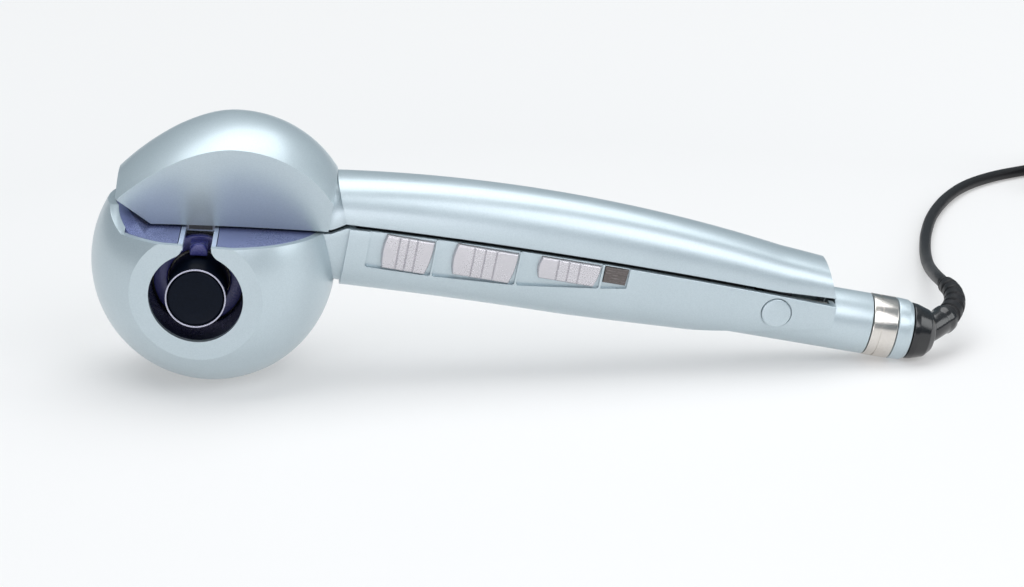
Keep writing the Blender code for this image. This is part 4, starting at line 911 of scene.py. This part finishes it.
def makeUpperCover():
    wall, lean = head["domeWall"], head["facetLean"]
    dome = domeSolid("upperShell", 0.0)
    trim(dome, headPlace, ((0, 0, -1), -head["jawUnder"]))
    for side in (-1.0, 1.0):
        shaped(dome, facetCutter(side))
    trim(dome, headPlace, (head["chamfer"], head["chamferOffset"]), ((-1, 0, 0), head["noseCut"]))
    trim(dome, handlePlace, ((1, 0, 0), head["domeRear"]))
    shaped(dome, neckSolid("neck", neck["upper"]), "UNION")
    lever = handleHalf("lever", 0.0, 34.0 * mm, 232.0 * mm, 0.0, False, 100)
    # the lever's slanting ends: each plane's direction and a point on it
    for way, u, w in (((-16.1, 0.0, -6.5), 45.0 * mm, 23.9 * mm), ((12.0, 0.0, 5.0), 225.4 * mm, 27.0 * mm)):
        way = Vector(way).normalized()
        trim(lever, handlePlace, (tuple(way), way.x * u + way.z * w))
    shaped(dome, lever, "UNION")
    hollow = domeSolid("hollow", wall)
    trim(hollow, headPlace, ((-1, 0, 0), head["noseCut"] - wall))
    for side in (-1.0, 1.0):
        normal = (0.0, side * math.cos(lean), -math.sin(lean))
        trim(hollow, headPlace, (normal, head["facetOffset"] - wall - 0.7 * mm))
    trim(hollow, headPlace, (head["chamfer"], head["chamferOffset"] - wall))
    trim(hollow, handlePlace, ((1, 0, 0), head["domeRear"] - wall))
    shaped(dome, hollow)
    shaped(dome, handleHalf("hollow", -handle["wall"], 48.5 * mm, 219.5 * mm, 6.0 * mm, False))
    shaped(dome, block("passage", (30.0 * mm, -9.0 * mm, 26.5 * mm), (52.0 * mm, 9.0 * mm, 34.0 * mm), handlePlace))
    dress(dome, "jaw", looks["paint"], ("upper_cover",))


makeUpperCover()
print("upper cover made")


# head insides that show: deck, slot guide, chamber, barrel and rotor hook

inset = head["wall"] + 0.25 * mm  # the inner pieces stand just clear of the shell's wall
deckUnder = head["deck"] - head["deckThick"]
rotor = {
    "ring": (11.2 * mm, 16.2 * mm), "back": -12.6 * mm, "clear": 0.3 * mm,
    "arm": (3.15 * mm, -21.5 * mm, -10.83 * mm, 12.63 * mm, 14.77 * mm),
    "finger": (3.2 * mm, -23.0 * mm, -20.6 * mm, 11.5 * mm, 12.9 * mm),
}


def makeDeck():
    plate = ballSolid("deckPlate", layout["ballRadius"] - inset)
    trim(plate, headPlace, ((0, 0, 1), head["deck"]), ((0, 0, -1), -deckUnder))
    lip = ballSolid("deckLip", layout["ballRadius"] - inset - 0.01 * mm)
    shaped(lip, noseBlock("lipBlock", -past, -15.0 * mm, head["noseTop"]), "INTERSECT")
    lean = math.radians(52.0)
    trim(lip, headPlace, ((math.cos(lean), 0.0, math.sin(lean)), -2.6 * mm))
    shaped(plate, lip, "UNION")
    trim(plate, headPlace, *facetPlanes(inset))
    x = chamber["x"]
    shaped(plate, block("notch", (x - 6.9 * mm, -past, 0.0), (x + 6.9 * mm, -7.0 * mm, 40.0 * mm), headPlace))
    shaped(plate, block("gearRoom", (x - 8.0 * mm, -8.5 * mm, 10.0 * mm), (x + 8.0 * mm, -2.6 * mm, 13.9 * mm),
                        headPlace))
    # the deck's finish has the chamber lamp's blue light painted into its colour
    dress(plate, "housing", looks["deck"], ("deck_plate",))


def makeChamber():
    x = chamber["x"]
    outer, inner, front, back = 6.6 * mm, chamber["slot"], -38.0 * mm, -7.3 * mm
    outline = [(x - outer, front), (x - inner, front), (x - inner, back - 1.6 * mm), (x + inner, back - 1.6 * mm),
               (x + inner, front), (x + outer, front), (x + outer, back), (x - outer, back)]
    guide = extruded("slotGuide", outline, deckUnder, head["deck"] - 0.1 * mm, headPlace, "Z")
    trim(guide, headPlace, facetPlanes(inset)[0])
    dress(guide, "housing", looks["clear"], ("slot_guide",))
    wall = 1.5 * mm
    around = keyholeOutline(chamber["radius"] + wall, chamber["slot"] + wall, 3.5 * mm, 30.0 * mm)
    within = keyholeOutline(chamber["radius"], chamber["slot"], 5.0 * mm, 40.0 * mm)
    cup = extruded("chamberCup", around, -45.0 * mm, chamber["back"] + 1.8 * mm, headPlace)
    shaped(cup, extruded("inner", within, -past, chamber["back"], headPlace))
    trim(cup, headPlace, ((0, 0, 1), deckUnder - 0.3 * mm))
    shaped(cup, roundBar("hubHole", 13.2 * mm, -20.0 * mm, 0.0, headPlace, "Y", axisAt))
    trim(cup, headPlace, facetPlanes(inset)[0])
    dress(cup, "housing", looks["chamber"], ("chamber_cup",))


def makeBarrel():
    # a thin-walled sleeve with a rounded front rim; the face inside it is slightly dished
    face, radius = chamber["barrelFace"], chamber["barrelRadius"]
    sleeve = ringBar("barrelSleeve", 9.9 * mm, radius, face, -13.0 * mm, headPlace, "Y", axisAt, 0.25 * mm, 128)
    dress(sleeve, "housing", looks["ceramic"], ("barrel_sleeve",), 40.0)
    edge = ringBar("barrelRim", 10.1 * mm, radius + 0.06 * mm, face - 0.06 * mm, face + 0.45 * mm, headPlace, "Y",
                   axisAt, 0.15 * mm, 128)
    trim(sleeve, headPlace, ((0, -1, 0), -(face + 0.5 * mm)))
    dress(edge, "housing", looks["rim"], (), 40.0)
    dish = [(0.0, 0.55), (6.0, 0.5), (8.6, 0.28), (9.2, 0.12), (9.6, 0.35), (9.6, 4.0), (0.0, 4.0)]
    profile = rounded([(r * mm, face + t * mm) for r, t in dish], [2.0 * mm, 1.0 * mm, 0.3 * mm, 0.15 * mm, 0.0], 4)
    cap = turned("barrelFace", profile, headPlace, "Y", axisAt, 128)
    dress(cap, "housing", looks["ceramic"], ("barrel_end_cap",), 40.0)


def makeRotor():
    # a ring at the back of the chamber and one upright finger with a round top
    x, z = chamber["x"], chamber["z"]
    ring = ringBar("hairRotor", *rotor["ring"], rotor["back"], chamber["back"] - rotor["clear"], headPlace, "Y",
                   axisAt, 0.5 * mm, 128)
    half, front, back, low, high = rotor["arm"]
    arm = block("arm", (x - half, front, z + low), (x + half, back, z + high), headPlace)
    half, front, back, foot, crown = rotor["finger"]
    top = np.pi * np.arange(25) / 24.0
    outline = np.concatenate([[(x - half, z + foot), (x + half, z + foot)],
                              np.stack([x + half * np.cos(top), z + crown + half * np.sin(top)], -1)])
    finger = extruded("finger", outline, front, back, headPlace)
    soft = finger.modifiers.new("soft", "BEVEL")
    soft.width = 0.6 * mm
    soft.segments = 3
    soft.angle_limit = math.radians(50.0)
    settle(finger)
    shaped(arm, finger, "UNION")
    shaped(ring, arm, "UNION")
    dress(ring, "rotor", looks["hook"], ("hair_rotor",), 30.0)


makeDeck()
makeChamber()
makeBarrel()
makeRotor()
print("head made")


# sliders and lens on the handle's near side

cap = {
    "crown": 0.30 * mm, "grooves": (0.31, 0.48, 0.655), "grooveDepth": 0.42 * mm, "barHeight": 0.12 * mm,
    "proud": 0.9 * mm, "roundness": 0.8 * mm, "sunk": 0.9 * mm, "bow": 0.9 * mm, "sweep": 1.7 * mm,
    "stem": (1.6 * mm, 1.1 * mm),
}


def sideDepth(u, w, offset):
    # how far out the handle's near side stands at a height, from its superellipse section
    edge, roll = housingEdge(u), 0.5 * mm
    depth = lowerDepth(u) - 0.7 * mm + offset
    down = np.clip((edge - w - roll) / (depth - roll), 0.0, 0.999)
    power = layout["sectionPower"]
    return (halfWidth(u) + offset) * (1.0 - down ** power) ** (1.0 / power)


def denser(share, steps):
    # shares from 0 to 1 with more of them near both ends
    ends = np.linspace(0.0, share, 7)
    return np.concatenate([ends[:-1], np.linspace(share, 1.0 - share, steps), np.linspace(1.0 - share, 1.0, 7)[1:]])


def capSolid(name, left, right, low, high, proud, roundness, detail):
    # a crowned pillow on the handle's side: left and right edges as functions of the height share b
    a, b = denser(0.06, 221)[:, None], denser(0.08, 33)[None, :]
    u = left(b) + (right(b) - left(b)) * a
    w = low + (high(u) - low) * b
    span, tall = right(b) - left(b), high(u) - low
    toEdge = np.minimum(np.minimum(a, 1.0 - a) * span, np.minimum(b, 1.0 - b) * tall) / roundness
    roll = np.sqrt(1.0 - (1.0 - np.clip(toEdge, 0.0, 1.0)) ** 2)
    sunk = cap["sunk"]
    rise = -sunk + (sunk + proud) * (0.35 + 0.65 * roll) + detail(a, b, u, w) * roll
    front = np.stack([u, -(sideDepth(u, w, 0.0) + rise), w], -1)
    back = np.stack([u, -(sideDepth(u, w, 0.0) - sunk), w], -1)
    return surface(name, np.concatenate([front, back[:, ::-1]], 1), handlePlace)


def makeSliders():
    for name, (start, end, low, top, stem, *_) in sliders.items():
        start, end, low, top = start * mm, end * mm, low * mm, top * mm
        width = end - start

        def ridges(a, b, u, w, width=width, start=start):
            # three narrow grooves, each with a low bar behind it, and a soft crown over the cap
            shape = cap["crown"] * (1.0 - (2.0 * a - 1.0) ** 2) * (1.0 - 0.5 * (2.0 * b - 1.0) ** 2)
            for share in cap["grooves"]:
                off = (u - start - share * width) / mm
                shape = (shape - cap["grooveDepth"] * np.exp(-(off / 0.20) ** 2)
                         + cap["barHeight"] * np.exp(-((off - 0.75) / 0.45) ** 2))
            return shape

        made = capSolid(name + "Slider", lambda b, start=start: start + cap["bow"] * (2.0 * b - 1.0) ** 2,
                        lambda b, end=end: end - cap["sweep"] * (1.0 - b) ** 2.2, low,
                        lambda u, top=top: np.minimum(top, housingEdge(u) + 0.1 * mm), cap["proud"],
                        cap["roundness"], ridges)
        at = (start + end) / 2.0
        half, tall = cap["stem"]
        bar = block("stem", (at - half, -15.0 * mm, stem * mm - tall), (at + half, -8.6 * mm, stem * mm + tall),
                    handlePlace)
        shaped(made, bar, "UNION")
        dress(made, name + "_button", looks["cap"], (name + "_slider",), 75.0)
    front, rear, low, high = lens
    window = capSolid("indicatorLens", lambda b: np.full_like(b, front), lambda b: rear - 0.4 * mm * (1.0 - b), low,
                      lambda u: np.minimum(high, housingEdge(u) + 0.1 * mm), 0.1 * mm, 0.4 * mm,
                      lambda a, b, u, w: 0.09 * mm * np.sin(w / mm * 5.0 + 0.9 * np.sin(u / mm * 0.8)))
    dress(window, "housing", looks["lens"], ("indicator_lens",), 40.0)


makeSliders()


# hinge caps, tail tube, band, end ring and swivel

tail = {
    # stations along the handle's axis
    "bore": 9.4 * mm, "tube": (182.5 * mm, 241.1 * mm), "band": (241.4 * mm, 250.7 * mm),
    "groove": (244.3 * mm, 244.9 * mm), "bandProud": 0.15 * mm, "grooveDepth": 0.35 * mm, "clear": 0.3 * mm,
    "ring": ((7.0, 251.0), (11.5, 251.0), (11.3, 255.4), (10.6, 256.9), (7.0, 256.9)),
    "ringRadii": (0.1, 0.4, 0.8, 0.3, 0.1),
}
swivel = {
    "steps": ((0.0, 245.0), (7.4, 245.0), (7.4, 247.2), (5.6, 247.7), (5.6, 257.3), (10.6, 257.3), (10.3, 259.6),
              (8.9, 264.2), (6.4, 266.6), (3.0, 267.2), (0.0, 267.2)),
    "soften": (0.2, 0.2, 0.3, 0.2, 0.5, 0.6, 1.5, 1.2, 1.0),
    "elbow": 4.9, "collar": 0.5,
}
tailAt = (0.0, 0.0, tailW)


def scaled(pairs):
    return [(a * mm, b * mm) for a, b in pairs]


def makeHinge():
    for name, side in (("near", -1.0), ("far", 1.0)):
        dish = [(0.0, 13.95), (3.4, 13.9), (4.9, 13.75), (5.35, 13.5), (5.4, 12.5), (0.0, 12.5)]
        profile = rounded([(r * mm, side * t * mm) for r, t in dish], [2.0 * mm, 1.0 * mm, 0.4 * mm, 0.2 * mm], 4)
        made = turned("hingeCap" + name.capitalize(), profile, handlePlace, "Y", pivotAt, 96)
        dress(made, "housing", looks["paint"], ("hinge_cap_" + name,), 40.0)


def makeTail():
    body = ringBar("tailTube", tail["bore"], handle["tailRadius"], *tail["tube"], handlePlace, "X", tailAt,
                   0.3 * mm, 128)
    normal, offset = slopePlane()
    upper = halfSpace([-n for n in normal], -offset - tail["clear"], handlePlace)
    trim(upper, handlePlace, ((1, 0, 0), handle["end"] + tail["clear"]))
    shaped(body, upper)
    dress(body, "housing", looks["paint"], ("tail_tube",))
    wide = handle["tailRadius"] + tail["bandProud"]
    band = ringBar("silverBand", tail["bore"], wide, *tail["band"], handlePlace, "X", tailAt, 0.35 * mm, 128)
    shaped(band, ringBar("groove", wide - tail["grooveDepth"], wide + 2.0 * mm, *tail["groove"], handlePlace, "X",
                         tailAt, 0.05 * mm, 128))
    dress(band, "housing", looks["silver"], ("silver_band",), 35.0)
    outline = roundedRing(scaled(tail["ring"]), [s * mm for s in tail["ringRadii"]], 4)
    ring = turned("endRing", outline, handlePlace, "X", tailAt, 128, loop=True)
    dress(ring, "housing", looks["paint"], ("end_ring",), 35.0)


def makeSwivel():
    # a stepped cone on the tail's axis, with an elbow that turns into the relief
    profile = rounded(scaled(swivel["steps"]), [s * mm for s in swivel["soften"]], 5)
    cone = turned("cordSwivel", profile, handlePlace, "X", tailAt, 96)
    path = curveThrough(fromBall(lead["reliefEnds"]), 1.0 * mm)
    stub = path[path[:, 1] < 9.0 * mm]
    share = np.linspace(0.0, 1.0, len(stub))
    elbow = swept("elbow", stub, (swivel["elbow"] + swivel["collar"] * (share > 0.8)) * mm, 40)
    shaped(cone, elbow, "UNION")
    dress(cone, "lead", looks["gloss"], ("cord_swivel",), 35.0)


makeHinge()
makeTail()
makeSwivel()
print("tail made")


# the CAD pieces that stay as they are, each with its own finish

keptLooks = {
    "nylon": ("barrel_mount", "rotor_gear", "idler_gear", "start_plunger", "terminal_block", "swivel_socket"),
    "steel": ("heater_core", "idler_axle", "motor_shaft", "motor_can", "gear_frame", "thermal_fuse", "return_spring",
              "time_switch", "heat_switch", "direction_switch", "hinge_pin", "case_screw_1", "case_screw_2",
              "case_screw_3"),
    "brass": ("motor_pinion",),
    "dark": ("motor_end_bell", "handle_plate", "start_switch", "buzzer", "jaw_insert", "lever_liner"),
    "board": ("control_board",),
    "lamp": ("chamber_lamp", "indicator_lamp"),
}
for look, names in keptLooks.items():
    for name in names:
        for place in frame["nodes"][name].material_slots:
            place.material = looks[look]
print("kept pieces: %d" % sum(len(names) for names in keptLooks.values()))
